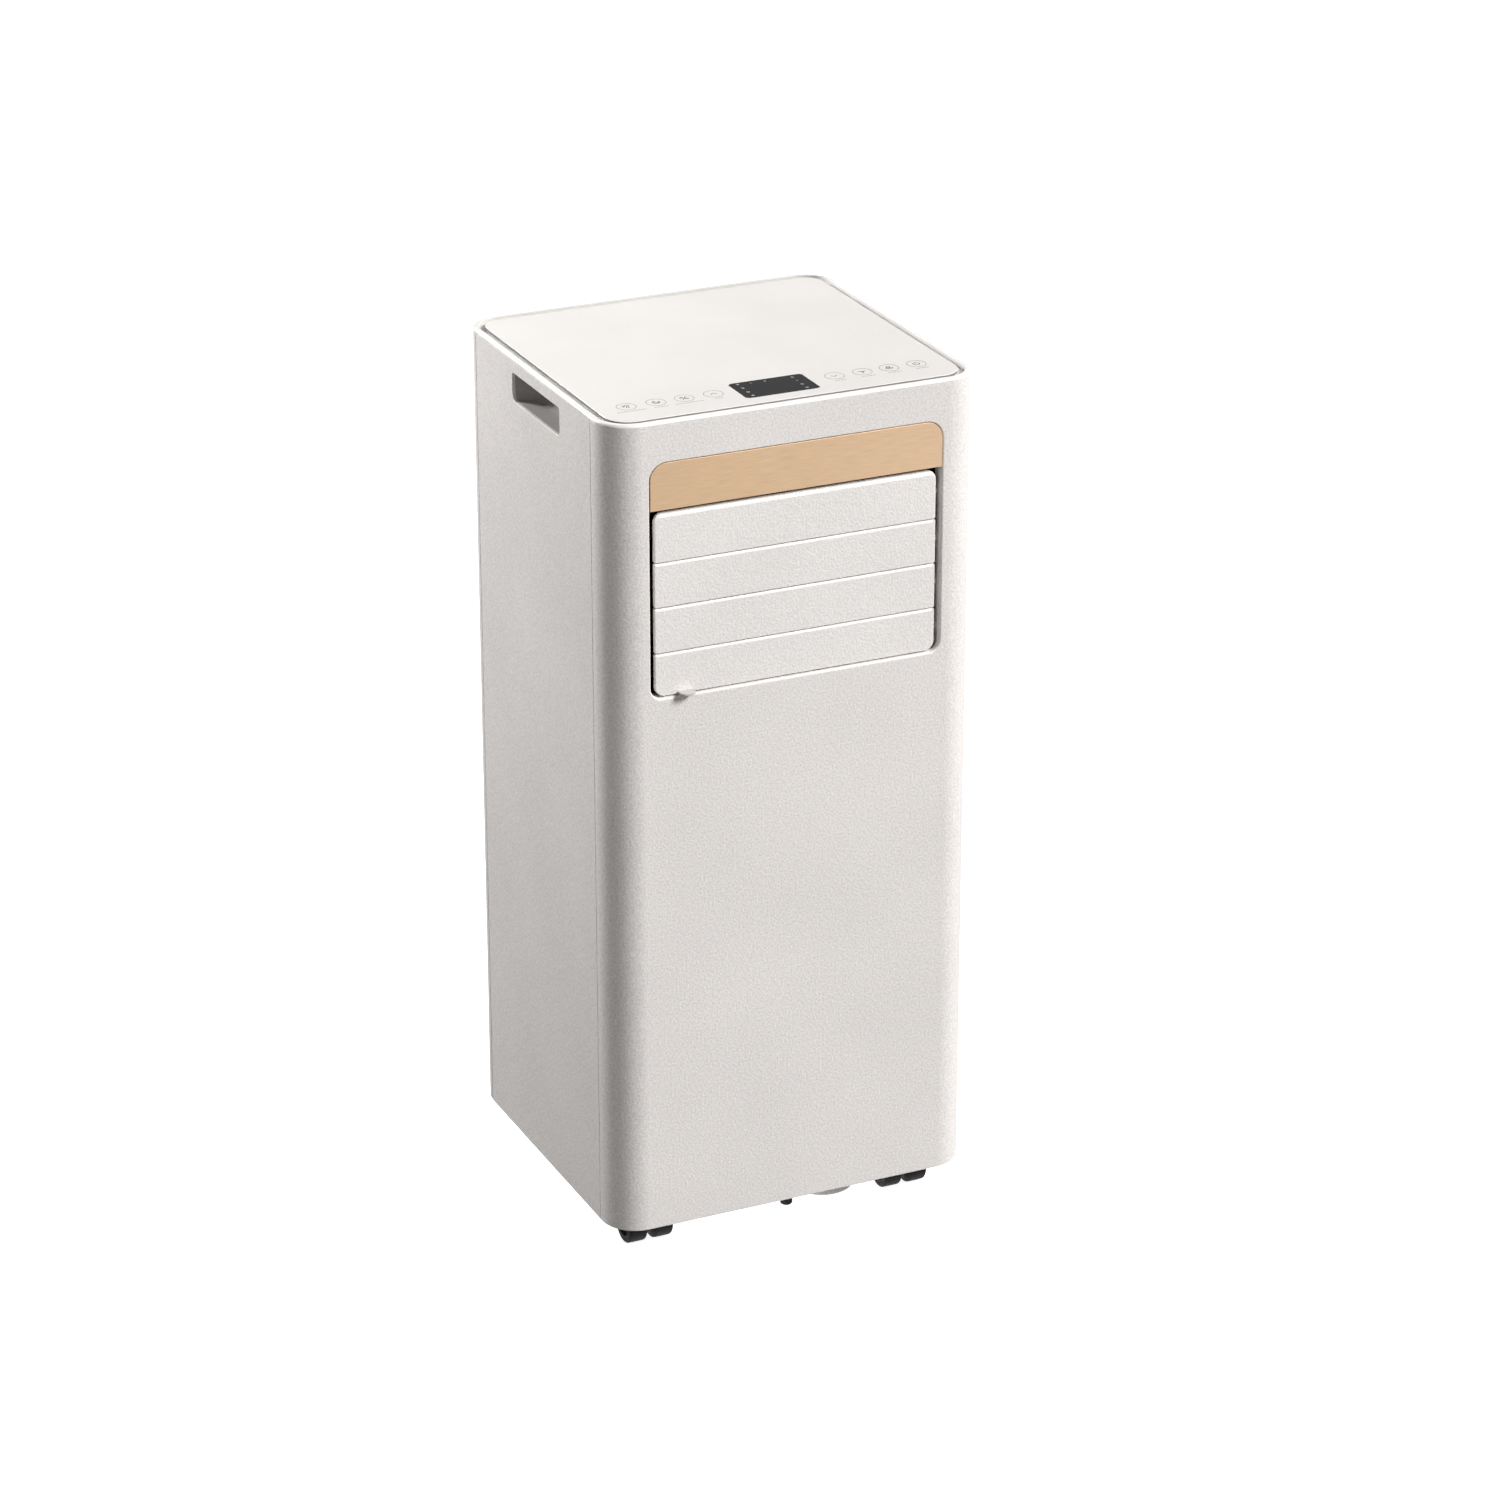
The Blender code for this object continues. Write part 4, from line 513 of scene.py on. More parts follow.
def build_front_cover():
    outline = cover_outline(FRONT_SEAM_Y - UPRIGHT_SEAM / 2, front=True)
    cover = solid("front_cover_shell", outline, CASING_BOTTOM, CASING_TOP, "Z", 0.0006, 0.0003, folded=True)
    flange = solid("flange", front_opening(FLANGE), FRONT + OVERLAP, FLANGE_BACK, "Y")
    hole = opening_cutter("hole", front_opening(), FRONT, FLANGE_BACK + THROUGH, "Y", (0.0004, 0.0014, 0.0021))
    cut(join(cover, flange), hole)
    return dress(cover, CASING, nodes=["front_cover"])


def build_side(side, name):
    outer, inner = side * RIGHT, side * (RIGHT - WALL)
    low = (FRONT_SEAM_Y + UPRIGHT_SEAM / 2, CASING_BOTTOM)
    high = (REAR_SEAM_Y - UPRIGHT_SEAM / 2, CASING_TOP)
    edges = (0.0002, 0.0) if side < 0 else (0.0, 0.0002)
    panel = solid(name + "_side_shell", rounded_rectangle(low, high, (0, 0, 0, 0)),
                  min(outer, inner), max(outer, inner), "X", *edges)
    window = rounded_rectangle((POCKET_Y[0], POCKET_Z[0]), (POCKET_Y[1], POCKET_Z[1]), POCKET_RADII, 10)
    cut(panel, opening_cutter("window", window, outer, side * (RIGHT - 0.02), "X", (0.0003, 0.0003, 0.0005)))
    dress(panel, CASING, nodes=[name + "_side_panel"])

    lip = RIGHT - WALL - 0.00002
    back = lip - POCKET_DEPTH
    floor, ceiling = POCKET_Z

    def scoop(grow, mouth):
        """Rings from the mouth inwards, whose floor curves up to meet the back."""
        bend = corner(back, floor, POCKET_BEND, 270, 180, 12)
        low_y, high_y = POCKET_Y[0] - grow, POCKET_Y[1] + grow
        corners = tuple(r + grow for r in POCKET_RADII)
        base = rounded_rectangle((low_y, floor - grow), (high_y, ceiling + grow), corners, 10)
        rings = []
        for x, z_floor in [(mouth, floor)] + bend:
            share = (ceiling - z_floor) / (ceiling - floor)
            x_at = x - grow if x < lip else x
            rings.append([Vector((side * x_at, y, ceiling + grow - (ceiling + grow - z) * share)) for y, z in base])
        return rings

    pocket = lofted(name + "_pocket_scoop", scoop(POCKET_WALL, lip))
    x_low, x_high = sorted((side * lip, side * (lip - POCKET_WALL)))
    rim = 0.006
    flange = block("flange", (x_low, POCKET_Y[0] - rim, floor - rim), (x_high, POCKET_Y[1] + rim, ceiling + 0.0023))
    hollow = lofted("hollow", scoop(0.0, lip + 0.005))
    cut(join(pocket, flange), hollow)
    return dress(pocket, SHADED_POCKET, nodes=[name + "_finger_pocket"], angle=50)


def grille_window(z_range):
    low, high = (-GRILLE_HALF_WIDTH, z_range[0]), (GRILLE_HALF_WIDTH, z_range[1])
    return rounded_rectangle(low, high, (0.004,) * 4, 8)


def circle(centre, radius, steps=64):
    return arc(centre, radius, 0, 360 - 360 / steps, steps - 1)


def build_rear_cover():
    outline = cover_outline(REAR_SEAM_Y + UPRIGHT_SEAM / 2, front=False)
    cover = solid("rear_cover_shell", outline, CASING_BOTTOM, CASING_TOP, "Z", 0.0006, 0.0003, folded=True)
    inner = REAR - THROUGH
    holes = [
        opening_cutter("upper", grille_window(UPPER_GRILLE_Z), REAR, inner, "Y", 0.0004),
        opening_cutter("lower", grille_window(LOWER_GRILLE_Z), REAR, inner, "Y", 0.0004),
        opening_cutter("port", circle((0, PORT_Z), PORT_RADIUS + PORT_WALL + GAP, 96), REAR, inner, "Y", 0.0003),
        opening_cutter("drain", circle(DRAIN_CENTRE, DRAIN_RADIUS + 2 * GAP), REAR, inner, "Y", 0.0003),
        opening_cutter("cable", circle(CABLE_CENTRE, GLAND_RADIUS + 2 * GAP), REAR, inner, "Y", 0.0003),
    ]
    return dress(cut(cover, *holes), CASING, nodes=["rear_cover"])


def build_painted_seam_shade():
    """Painted shade: a near-black strip at the foot of each upright seam, between a cover's edge and a side panel's,
    darkens the gap.
    """
    for side, flank in ((-1, "left"), (1, "right")):
        outer, inner = side * (RIGHT - 0.0003), side * (RIGHT - WALL)
        for end, y in (("front", FRONT_SEAM_Y), ("rear", REAR_SEAM_Y)):
            low = (min(outer, inner), y - UPRIGHT_SEAM / 2, CASING_BOTTOM + 0.0003)
            high = (max(outer, inner), y + UPRIGHT_SEAM / 2, CASING_TOP - 0.0003)
            dress(block(f"seam_strip_{end}_{flank}", low, high), DARK)


def casing_outline(inset, steps=24):
    radii = (FRONT_RADIUS - inset, FRONT_RADIUS - inset, REAR_RADIUS - inset, REAR_RADIUS - inset)
    return rounded_rectangle((-RIGHT + inset, FRONT + inset), (RIGHT - inset, REAR - inset), radii, steps)


def build_top():
    fillet = corner(0, HEIGHT, LIP_FILLET, 180, 90, 8)
    inner = corner(LIP_WIDTH, HEIGHT, 0.0007, 90, 0, 4)
    skirt = 0.0050
    section = fillet + inner + [
        (LIP_WIDTH, LEDGE_Z - 0.0008), (LIP_WIDTH + 0.0006, LEDGE_Z - 0.0008), (LIP_WIDTH + 0.0006, LEDGE_Z),
        (LEDGE_WIDTH, LEDGE_Z),
        (LEDGE_WIDTH, LEDGE_Z - LEDGE_THICKNESS), (skirt, LEDGE_Z - LEDGE_THICKNESS), (skirt, SKIRT_BOTTOM),
        (WALL + 0.0004, SKIRT_BOTTOM), (WALL + 0.0004, CASING_TOP + GAP),
    ]
    rings = [[Vector((x, y, z)) for x, y in casing_outline(inset)] for inset, z in section]
    dress(lofted("top_rim_lip", rings, closed=True), RIM, nodes=["top_rim"])

    gasket = solid("plate_gasket", casing_outline(PLATE_INSET + 0.0003), LEDGE_Z + GAP, PLATE_SEAT + 0.0001)
    cut(gasket, solid("inside", casing_outline(PLATE_INSET + 0.0020), LEDGE_Z - THROUGH, HEIGHT))
    dress(gasket, GASKET)

    plate = solid("control_plate", casing_outline(PLATE_INSET), PLATE_SEAT, PLATE_TOP, "Z", 0.0001, 0.0004,
                  high_profile=ROUND)
    low = [DISPLAY_CENTRE[i] - DISPLAY_SIZE[i] / 2 - GAP for i in (0, 1)]
    high = [DISPLAY_CENTRE[i] + DISPLAY_SIZE[i] / 2 + GAP for i in (0, 1)]
    window = rounded_rectangle(low, high, (DISPLAY_RADIUS,) * 4, 10)
    cut(plate, opening_cutter("window", window, PLATE_TOP, LEDGE_Z - THROUGH, "Z", 0.0002, SOFT))
    dress(plate, PLATE, nodes=["top_plate"])

    low, high = [v + GAP for v in low], [v - GAP for v in high]
    lens = solid("display_lens", rounded_rectangle(low, high, (DISPLAY_RADIUS - GAP,) * 4, 10),
                 LEDGE_Z - 0.0010, PLATE_TOP - 0.0001, "Z", 0.0, 0.0003)
    rim = 0.003
    foot = block("foot", (low[0] - rim, low[1] - rim, LEDGE_Z - LEDGE_THICKNESS),
                 (high[0] + rim, high[1] + rim, LEDGE_Z))
    dress(join(lens, foot), DISPLAY, nodes=["display_window"])


def build_accent():
    half, radius = OPENING_HALF_WIDTH - ACCENT_GAP, OPENING_TOP_RADIUS - ACCENT_GAP
    outline = rounded_rectangle((-half, ACCENT_BOTTOM), (half, OPENING_TOP - ACCENT_GAP), (0, 0, radius, radius), 14)
    panel = solid("accent_strip", outline, FRONT + ACCENT_THICKNESS, FRONT, "Y", 0.0, 0.0004)
    return dress(panel, ACCENT, nodes=["accent_panel"])


# ---------------------------------------------------------------- printed marks

def strokes(name, lines, width, z, material):
    """Flat printed lines: each is a list of points, drawn this wide and just proud of the plate."""
    shape = bmesh.new()
    for place, line in enumerate(lines):
        height = 0.00004 + 0.000004 * (place % 8)       # staggered, so crossing lines keep their tops apart
        loop = line[0] == line[-1]
        points = line[:-1] if loop else line
        rows = []
        for i, (x, y) in enumerate(points):
            before = points[i - 1] if i or loop else points[0]
            after = points[(i + 1) % len(points)] if i < len(points) - 1 or loop else points[-1]
            dx, dy = after[0] - before[0], after[1] - before[1]
            length = math.hypot(dx, dy)
            nx, ny = -dy / length * width / 2, dx / length * width / 2
            rows.append([shape.verts.new((x + s * nx, y + s * ny, z + h)) for s, h in
                         ((1, 0), (-1, 0), (-1, height), (1, height))])
        pairs = list(zip(rows, rows[1:])) + ([(rows[-1], rows[0])] if loop else [])
        for first, second in pairs:
            for i in range(4):
                j = (i + 1) % 4
                shape.faces.new((first[i], first[j], second[j], second[i]))
        if not loop:
            shape.faces.new(rows[0][::-1])
            shape.faces.new(rows[-1])
    return dress(new_object(name, shape), material)


def ring(centre, radius, steps, start=0, end=360):
    points = arc(centre, radius, start, end, steps)
    if end - start == 360:
        points[-1] = points[0]
    return points


def icon_lines(kind, x, y, s):
    """A touch key's symbol about a centre, s being its half size."""
    def at(*pairs):
        return [(x + s * a, y + s * b) for a, b in pairs]
    if kind == "swing":
        return [at((-0.9, -0.2), (-0.1, 0.5)), at((-0.3, -0.7), (0.2, 0.1)), at((0.3, -0.8), (0.5, 0.2)),
                at((-0.9, 0.7), (0.9, 0.7))]
    if kind == "sleep":
        return [ring((x, y), 0.75 * s, 20, 110, 400), ring((x + 0.35 * s, y + 0.3 * s), 0.6 * s, 14, 130, 330)]
    if kind == "dry":
        return [ring((x - 0.5 * s, y + 0.4 * s), 0.28 * s, steps=12), at((0.6, 0.8), (-0.5, -0.8)),
                ring((x + 0.5 * s, y - 0.4 * s), 0.28 * s, steps=12)]
    if kind == "up":
        return [at((-0.7, -0.3), (0.0, 0.4), (0.7, -0.3))]
    if kind == "down":
        return [at((-0.7, 0.3), (0.0, -0.4), (0.7, 0.3))]
    if kind == "speed":
        return [at((0.0, -0.1), (0.05, -0.9)), at((-0.05, 0.0), (-0.85, 0.45)), at((0.05, 0.0), (0.85, 0.4)),
                ring((x, y), 0.2 * s, steps=10)]
    if kind == "mode":
        return [ring((x + 0.45 * s * math.cos(a), y + 0.45 * s * math.sin(a)), 0.38 * s, steps=12)
                for a in (math.radians(t) for t in (90, 210, 330))]
    return [ring((x, y), 0.7 * s, 20, -230, 50), at((0.0, 0.95), (0.0, 0.1))]


def build_marks():
    keys = (("swing", -0.1193, 10), ("sleep", -0.0956, 5), ("dry", -0.0730, 10), ("up", -0.0494, 3),
            ("down", 0.0494, 4), ("speed", 0.0725, 5), ("mode", 0.0946, 5), ("power", 0.1175, 5))
    pitch, dash = 0.0023, 0.0016
    rings, symbols, captions = [], [], []
    for kind, x, dashes in keys:
        rings.append(ring((x, KEY_Y), KEY_RADIUS, steps=40))
        symbols += icon_lines(kind, x, KEY_Y, KEY_SYMBOL_HALF)
        starts = (x + 0.0003 + (i - dashes / 2) * pitch for i in range(dashes))
        captions += [[(start, CAPTION_Y), (start + dash, CAPTION_Y)] for start in starts]
    strokes("key_captions", captions, CAPTION_STROKE, PLATE_TOP, PRINT)
    strokes("key_rings", rings, THIN_STROKE, PLATE_TOP, PRINT)
    strokes("key_symbols", symbols, SYMBOL_STROKE, PLATE_TOP, PRINT)

    cx, cy = DISPLAY_CENTRE
    w, h = DISPLAY_SIZE
    places = [(0.115, b) for b in (0.12, 0.37, 0.63, 0.87)] + [(0.285, 0.14), (0.475, 0.14)]
    places += [(0.845, b) for b in (0.15, 0.385, 0.635, 0.88)]
    kinds = ("swing", "dry", "sleep", "mode", "up", "speed", "power", "down", "dry", "swing")
    lines = []
    for (a, b), kind in zip(places, kinds):
        lines += icon_lines(kind, cx + (a - 0.5) * w, cy + (0.5 - b) * h, DISPLAY_SYMBOL_HALF)
    strokes("display_symbols", lines, THIN_STROKE, PLATE_TOP - 0.0001, GLOW)


# ---------------------------------------------------------------- louvres

def build_blade(index):
    number = index + 1
    top, bottom = BLADE_EDGES[index] - GAP, BLADE_EDGES[index + 1] + GAP
    top_radius = BLADE_CORNER_RADIUS if index == 0 else 0.0012
    bottom_radius = BLADE_CORNER_RADIUS if index == 3 else 0.0014
    outline = rounded_rectangle((-BLADE_HALF_WIDTH, bottom), (BLADE_HALF_WIDTH, top),
                                (bottom_radius, bottom_radius, top_radius, top_radius), 10)
    back = BLADE_FACE_Y + BLADE_THICKNESS
    edges = (0.0040, 0.0010, 0.0004) if index == 0 else (0.0021, 0.0005, 0.0004)
    profile = SHOULDER if index == 0 else CHAMFER
    blade = solid(f"louver_{number}", outline, back, BLADE_FACE_Y, "Y", 0.0, edges, high_profile=profile)
    z = (BLADE_EDGES[index] + BLADE_EDGES[index + 1]) / 2
    crank = (BLADE_PIVOT_Y + CRANK[0], z + CRANK[1])
    root, reach, half = back - OVERLAP, 0.0030, 0.0045
    left_ear = [
        (root, z - half), (BLADE_PIVOT_Y + reach, z - half), (crank[0] + reach, crank[1] - 0.0020),
        (crank[0] + reach, crank[1] + reach), (crank[0] - reach, crank[1] + reach), (root, z + half),
    ]
    tip = BLADE_PIVOT_Y + reach
    right_ear = [(root, z - half), (tip, z - half), (tip, z + half), (root, z + half)]
    outside = BLADE_HALF_WIDTH - 0.0004
    inside, pivot, middle = outside - EAR_THICKNESS, (BLADE_PIVOT_Y, z), BLADE_HALF_WIDTH - 0.00165
    if index == 3:
        tab = rounded_rectangle((LEVER_X[0], FRONT - LEVER_REACH), (LEVER_X[1], BLADE_FACE_Y + OVERLAP),
                                (0.0045, 0.0045, 0, 0), 10)
        dress(solid("louver_4_tab", tab, *LEVER_Z, "Z", 0.0003, 0.0003), SHADED_TAB, "louver_blade_4")
    dress(blade, BLADE, f"louver_blade_{number}", [f"louver_blade_{number}"])

    pivots = merge(
        solid(f"louver_{number}_crank", left_ear, -outside, -inside, "X", 0.0003, 0.0003),
        rod("left_pin", (-middle, *pivot), (-PIN_END, *pivot), PIN_RADIUS, 20, 0.0003),
        rod("crank_pin", (-middle, *crank), (-CRANK_PIN_END, *crank), CRANK_PIN_RADIUS, 16, 0.0002),
    )
    dress(pivots, DARK, f"louver_blade_{number}")
    pivots = merge(
        solid(f"louver_{number}_pivot", right_ear, inside, outside, "X", 0.0003, 0.0003),
        rod("right_pin", (middle, *pivot), (PIN_END, *pivot), PIN_RADIUS, 20, 0.0003),
    )
    dress(pivots, DUCT, f"louver_blade_{number}")


# ---------------------------------------------------------------- rear

def build_grille(name, z_range, rows, body):
    low_z, high_z = z_range[0] + SEAM, z_range[1] - SEAM
    half, frame_width = GRILLE_HALF_WIDTH - SEAM, GRILLE_FRAME
    outline = rounded_rectangle((-half, low_z), (half, high_z), (0.0036,) * 4, 8)
    back = REAR - GRILLE_THICKNESS
    grille = solid(name + "_slats", outline, back, REAR, "Y", 0.0, 0.0005)
    window = rounded_rectangle((-half + frame_width, low_z + frame_width), (half - frame_width, high_z - frame_width),
                               (0.0015,) * 4, 4)
    cut(grille, opening_cutter("window", window, REAR, back - THROUGH, "Y", 0.0006))
    pitch = (high_z - low_z - 2 * frame_width) / rows
    bars = []
    for row in range(1, rows):
        z = low_z + frame_width + pitch * row
        bar = rounded_rectangle((back + 0.0001, z - GRILLE_BAR / 2), (REAR - 0.0003, z + GRILLE_BAR / 2),
                                (0.0003, 0.0008, 0.0008, 0.0003), 3)
        bars.append(solid("bar", bar, -half + frame_width - OVERLAP, half - frame_width + OVERLAP, "X"))
    reach = frame_width - OVERLAP
    rib = rounded_rectangle((-GRILLE_RIB, low_z + reach), (GRILLE_RIB, high_z - reach), (0,) * 4)
    bars.append(solid("rib", rib, back + 0.0002, REAR - 0.0001, "Y", 0.0, 0.0005))
    merge(grille, *bars)
    return dress(grille, CASING, body=body, nodes=[name])


def build_port():
    inner, outer = PORT_RADIUS, PORT_RADIUS + PORT_WALL
    depth = REAR + PORT_REACH - PORT_ROOT_Y
    seat = REAR + GAP - PORT_ROOT_Y
    flange, crown = outer + PORT_FLANGE, seat + PORT_FLANGE_THICKNESS
    lip = corner(outer, depth, 0.0012, 90, 0, 5)
    mouth = corner(inner, depth, 0.0010, 180, 90, 5)
    rim = corner(flange, crown, 0.0012, 90, 0, 5)
    profile = lip + [(outer, crown + 0.0006), (outer + 0.0006, crown)] + rim
    profile += [(flange, seat), (outer, seat), (outer, 0.0), (inner, 0.0)] + mouth
    collar = turned("exhaust_ring", profile, (0, PORT_ROOT_Y, PORT_Z), "Y", 96)
    return dress(collar, CASING, nodes=["exhaust_collar"])


def build_stoppers():
    dx, dz = DRAIN_CENTRE
    seat, crown, head, plug = 0.0100 + GAP, 0.0150, 0.0095, DRAIN_BORE - GAP
    profile = [(0.0, crown - 0.0006), (0.0050, crown - 0.0006), (0.0056, crown)]
    profile += corner(head, crown, 0.0014, 90, 0, 5)
    profile += [(head, seat + 0.0004), (head - 0.0004, seat), (plug, seat), (plug - 0.0004, 0.0), (0.0, 0.0)]
    dress(turned("drain_cap_plug", profile, (dx, REAR - 0.0080, dz), "Y", 40), RUBBER, "drain_cap", ["drain_cap"])

    low, floor = PAN_Z
    neck, head, crown = PLUG_RADIUS, PLUG_RADIUS + 0.0010, floor + 0.0020
    profile = [(0.0, crown), (neck - 0.0008, crown), (neck, low), (neck, low - GAP), (head - 0.0003, low - GAP),
               (head, low - 2 * GAP)]
    tip = SUMP_BOTTOM - 0.0015
    profile += corner(head, tip, 0.0018, 0, -90, 6) + [(0.0, tip)]
    dress(turned("drain_stopper", profile, (*PLUG_CENTRE, 0), "Z", 36), RUBBER, "drain_plug", ["drain_plug"])

    x, z = CABLE_CENTRE
    length, seat, head = 0.0080, 0.0050 + GAP, GLAND_RADIUS + 0.0023
    profile = corner(head, length, 0.0010, 90, 0, 4)
    profile += [(head, seat), (GLAND_RADIUS, seat), (GLAND_RADIUS, 0.0), (GLAND_BORE, 0.0)]
    profile += corner(GLAND_BORE, length, 0.0008, 180, 90, 4)
    dress(turned("cable_bushing", profile, (x, REAR - 0.0050, z), "Y", 40), DARK, nodes=["cable_gland"])


# ---------------------------------------------------------------- base and casters

def build_pan():
    inset = WALL + GAP + SEAM
    low, floor = PAN_Z
    pan = solid("pan_shell", casing_outline(inset, 12), low, PAN_WALL_TOP, "Z", 0.0010)
    tray = solid("tray", casing_outline(inset + PAN_WALL, 12), floor, PAN_WALL_TOP + THROUGH)
    cut(pan, tray)
    sump, bored = SUMP_CENTRE, SUMP_RADIUS - SUMP_WALL
    dx, dz = DRAIN_CENTRE
    joined = [
        turned("boss", [(0.0, floor - OVERLAP), (SUMP_RADIUS, floor - OVERLAP)]
               + corner(SUMP_RADIUS, SUMP_BOTTOM, 0.0020, 0, -90, 6) + [(0.0, SUMP_BOTTOM)],
               (*sump, 0), "Z", 72),
        rod("spout", (dx, DRAIN_ROOT_Y, dz), (dx, REAR + 0.0020, dz), DRAIN_RADIUS, 40),
    ]
    removed = [
        rod("sump_hollow", (*sump, SUMP_BOTTOM + SUMP_WALL), (*sump, floor + THROUGH), bored, 48),
        rod("drain_bore", (dx, DRAIN_ROOT_Y - THROUGH, dz), (dx, REAR + THROUGH, dz), DRAIN_BORE, 32),
        rod("plug_hole", (*PLUG_CENTRE, low - THROUGH), (*PLUG_CENTRE, floor + THROUGH), PLUG_RADIUS + GAP, 32),
    ]
    for place in CASTERS.values():
        joined.append(rod("socket", (*place, floor - OVERLAP), (*place, SOCKET_TOP), SOCKET_RADIUS, 32))
        removed.append(rod("bore", (*place, low - THROUGH), (*place, SOCKET_TOP - 0.0030), STEM_RADIUS + GAP, 32))
    return dress(cut(join(pan, *joined), *removed), CASING, nodes=["base_pan"])


def build_caster(name, place):
    x, y = place
    axle = (y + SWIVEL_TRAIL, WHEEL_RADIUS)
    outer_hood, inner_hood = HOOD_RADII
    edge = WHEEL_OUTER_X + 0.0008
    web = arc(axle, (outer_hood + inner_hood) / 2, 25, 175, 20) + arc(axle, 0.0110, 185, 375, 20)
    hood = arc(axle, outer_hood, 25, 175, 28) + arc(axle, inner_hood, 175, 25, 28)
    fork = solid(f"caster_hood_{name}", hood, x - edge, x + edge, "X", 0.0006, 0.0006)
    merge(
        fork,
        solid("web", web, x - 0.0022, x + 0.0022, "X", 0.0003, 0.0003),
        block("neck", (x - 0.0024, y - 0.0060, 0.0220), (x + 0.0024, y + 0.0060, 0.0335)),
        rod("washer", (x, y, 0.0325), (x, y, PAN_Z[0] - 0.0008), SOCKET_RADIUS + 0.0005, 36, 0.0004),
        rod("stem", (x, y, 0.0300), (x, y, STEM_TOP), STEM_RADIUS, 28, 0.0005),
    )
    dress(fork, DARK, f"caster_{name}", [f"caster_frame_{name}"])

    r, inner, outer = WHEEL_RADIUS, WHEEL_INNER_X, WHEEL_OUTER_X
    shoulder = corner(r, outer, 0.0018, 90, 0, 6) + corner(r, inner, 0.0018, 0, -90, 6)
    half = [(0.0, outer - 0.0012), (0.0030, outer - 0.0012), (0.0036, outer - 0.0022), (0.0088, outer - 0.0022),
            (0.0094, outer - 0.0004), (0.0098, outer), (0.0118, outer), (0.0121, outer - 0.0005),
            (0.0124, outer)] + shoulder + [(0.0100, inner), (0.0095, inner + 0.0010), (0.0050, inner + 0.0010),
                                           (0.0045, inner), (AXLE_RADIUS, inner)]
    profile = half + [(radius, -height) for radius, height in half[::-1]]
    wheels = turned(f"wheel_pair_{name}", profile, (x, *axle), "X", 56)
    dress(wheels, TYRE, f"wheels_{name}", [f"caster_wheels_{name}"])


build_front_cover()
build_side(-1, "left")
build_side(1, "right")
build_rear_cover()
build_painted_seam_shade()
build_top()
build_accent()
build_marks()
for blade_index in range(4):
    build_blade(blade_index)
build_grille("upper_intake_grille", UPPER_GRILLE_Z, 18, "upper_intake")
build_grille("lower_intake_grille", LOWER_GRILLE_Z, 15, "lower_intake")
build_port()
build_stoppers()
build_pan()
for caster_name, caster_place in CASTERS.items():
    build_caster(caster_name, caster_place)

CARRIED = {
    DUCT: ["outlet_duct"] + [f"vane_{i}" for i in range(1, 6)],
    DARK: ["louver_link", "vane_link", "evaporator_fan", "condenser_fan"],
    INNER: ["evaporator_blower_housing", "condenser_blower_housing", "drip_tray", "exhaust_duct", "electrical_box"],
    FINS: ["evaporator", "condenser"],
    STEEL: ["swing_motor", "evaporator_fan_motor", "condenser_fan_motor", "deck"],
    PAINTED: ["compressor", "accumulator"],
    COPPER: ["suction_pipe", "liquid_line", "discharge_pipe", "compressor_inlet_pipe"],
    BOARD: ["control_board"],
    MESH: ["upper_filter", "lower_filter"],
}
for finish_material, names in CARRIED.items():
    for node_name in names:
        for material_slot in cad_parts[node_name].material_slots:
            material_slot.material = finish_material


# ---------------------------------------------------------------- floor, lights and camera

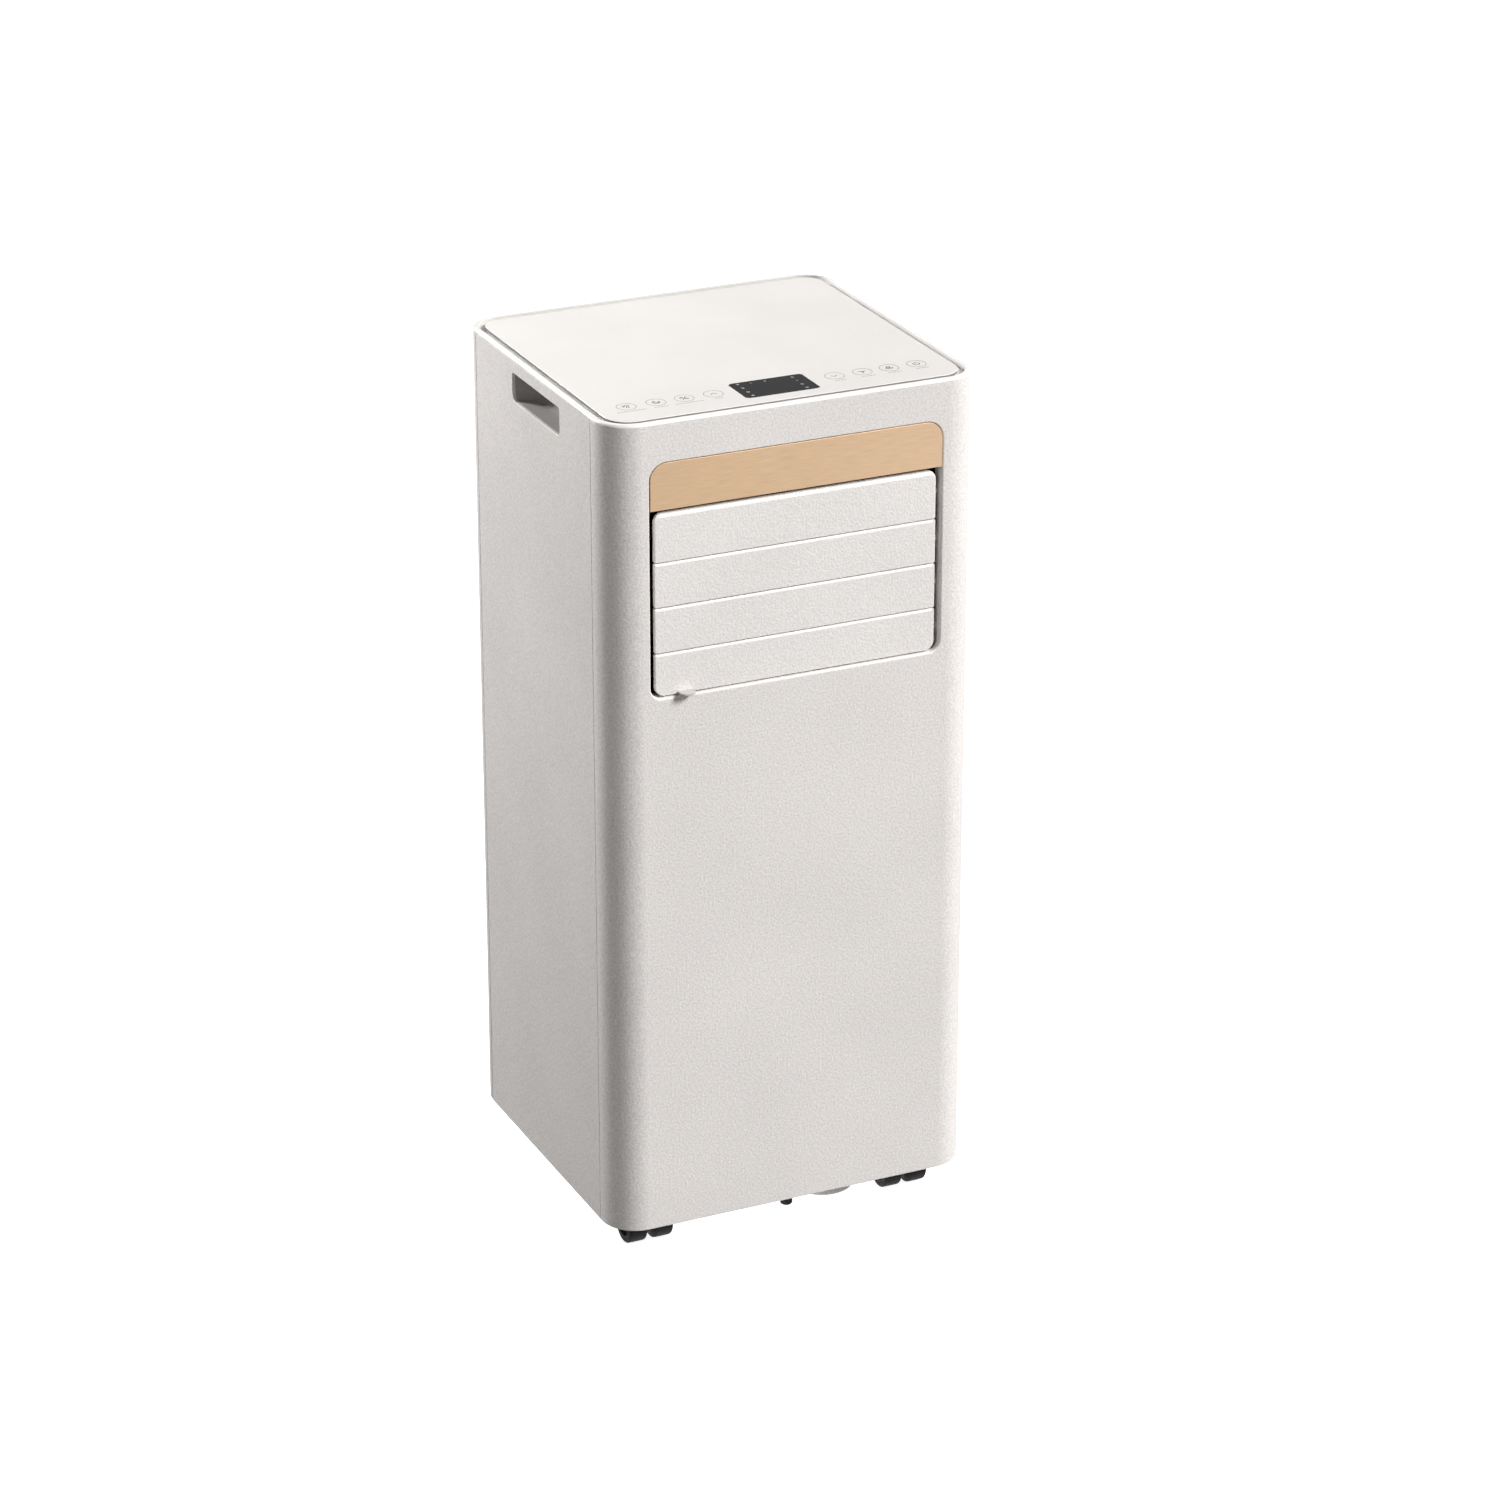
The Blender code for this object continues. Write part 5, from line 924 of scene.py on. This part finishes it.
def build_stage():
    """The floor, a card under it that lights the underside, and a wall that only the camera sees."""
    material, tree, bsdf = graph("floor_paper")
    noise = node(tree, "ShaderNodeTexNoise", Scale=40.0, Detail=3.0)
    tree.links.new(surface_coordinates(tree), noise.inputs["Vector"])
    tree.links.new(ramp(tree, noise.outputs["Fac"], grey(0.90), grey(0.92)), bsdf.inputs["Base Color"])
    bsdf.inputs["Roughness"].default_value = 0.9
    bsdf.inputs["Specular IOR Level"].default_value = 0.0
    bsdf.inputs["Emission Color"].default_value = (1, 1, 1, 1)
    bsdf.inputs["Emission Strength"].default_value = 0.86
    for name, size, height in (("floor", 30.0, 0.0), ("bounce_card", 0.14, -0.001)):
        shape = bmesh.new()
        bmesh.ops.create_grid(shape, x_segments=1, y_segments=1, size=size)
        sheet = new_object(name, shape)
        sheet.location.z = height
        sheet.data.materials.append(material)
        sheet.visible_diffuse = sheet.visible_glossy = name == "bounce_card"

    shape = bmesh.new()
    radius, height, steps = 29.0, 25.0, 96
    base, top = ([shape.verts.new((x, y, z)) for x, y in circle((0, 0), radius, steps)] for z in (0.0, height))
    for i in range(steps):
        j = (i + 1) % steps
        shape.faces.new((base[j], base[i], top[i], top[j]))
    backdrop = new_object("backdrop", shape)
    backdrop.data.materials.append(material)
    backdrop.visible_diffuse = backdrop.visible_glossy = backdrop.visible_shadow = False


def heading(azimuth, elevation):
    """Out from the unit, at an azimuth (0 is the front) and an elevation, both in radians."""
    return Vector((math.sin(azimuth) * math.cos(elevation), -math.cos(azimuth) * math.cos(elevation),
                   math.sin(elevation)))


def panel_light(name, azimuth, elevation, distance, size, power):
    """A square soft box out from the unit, looking back at it."""
    light = bpy.data.lights.new(name, "AREA")
    light.shape = "SQUARE"
    light.size = size
    light.energy = power
    away = heading(math.radians(azimuth), math.radians(elevation))
    lamp = bpy.data.objects.new(name, light)
    lamp.location = Vector((0, 0, 0.40)) + away * distance
    lamp.rotation_euler = away.to_track_quat("Z", "Y").to_euler()
    bpy.context.scene.collection.objects.link(lamp)


def build_world():
    world = bpy.data.worlds.new("studio")
    world.use_nodes = True
    background = world.node_tree.nodes["Background"]
    background.inputs["Color"].default_value = (1, 1, 1, 1)
    background.inputs["Strength"].default_value = 0.150
    bpy.context.scene.world = world


def build_camera():
    azimuth, elevation = math.radians(-24.717), math.radians(22.965)
    aim, across, lift, distance = Vector((0, -0.001, 0.345)), 0.02305, 0.01214, 3.8430
    back = heading(azimuth, elevation)
    right = Vector((math.cos(azimuth), math.sin(azimuth), 0))
    up = back.cross(right)
    lens = bpy.data.cameras.new("camera")
    lens.sensor_width, lens.lens = 36.0, 117.586        # both in millimetres
    lens.clip_end = 100
    camera = bpy.data.objects.new("camera", lens)
    place = aim + back * distance + right * across + up * lift
    camera.matrix_world = Matrix.Translation(place) @ Matrix((right, up, back)).transposed().to_4x4()
    bpy.context.scene.collection.objects.link(camera)
    bpy.context.scene.camera = camera


build_stage()
build_world()
for light_name, *light_settings in (        # azimuth and elevation in degrees, distance, size, power
    ("key", 47, 36, 12.0, 3.5, 1960),
    ("fill", -50, 12, 6.0, 3.0, 68),
    ("right", 100, 6, 6.0, 2.0, 100),
    ("rear_left", -144, 29, 1.75, 0.35, 32),
):
    panel_light(light_name, *light_settings)
build_camera()
bpy.context.scene.view_settings.view_transform = "Standard"
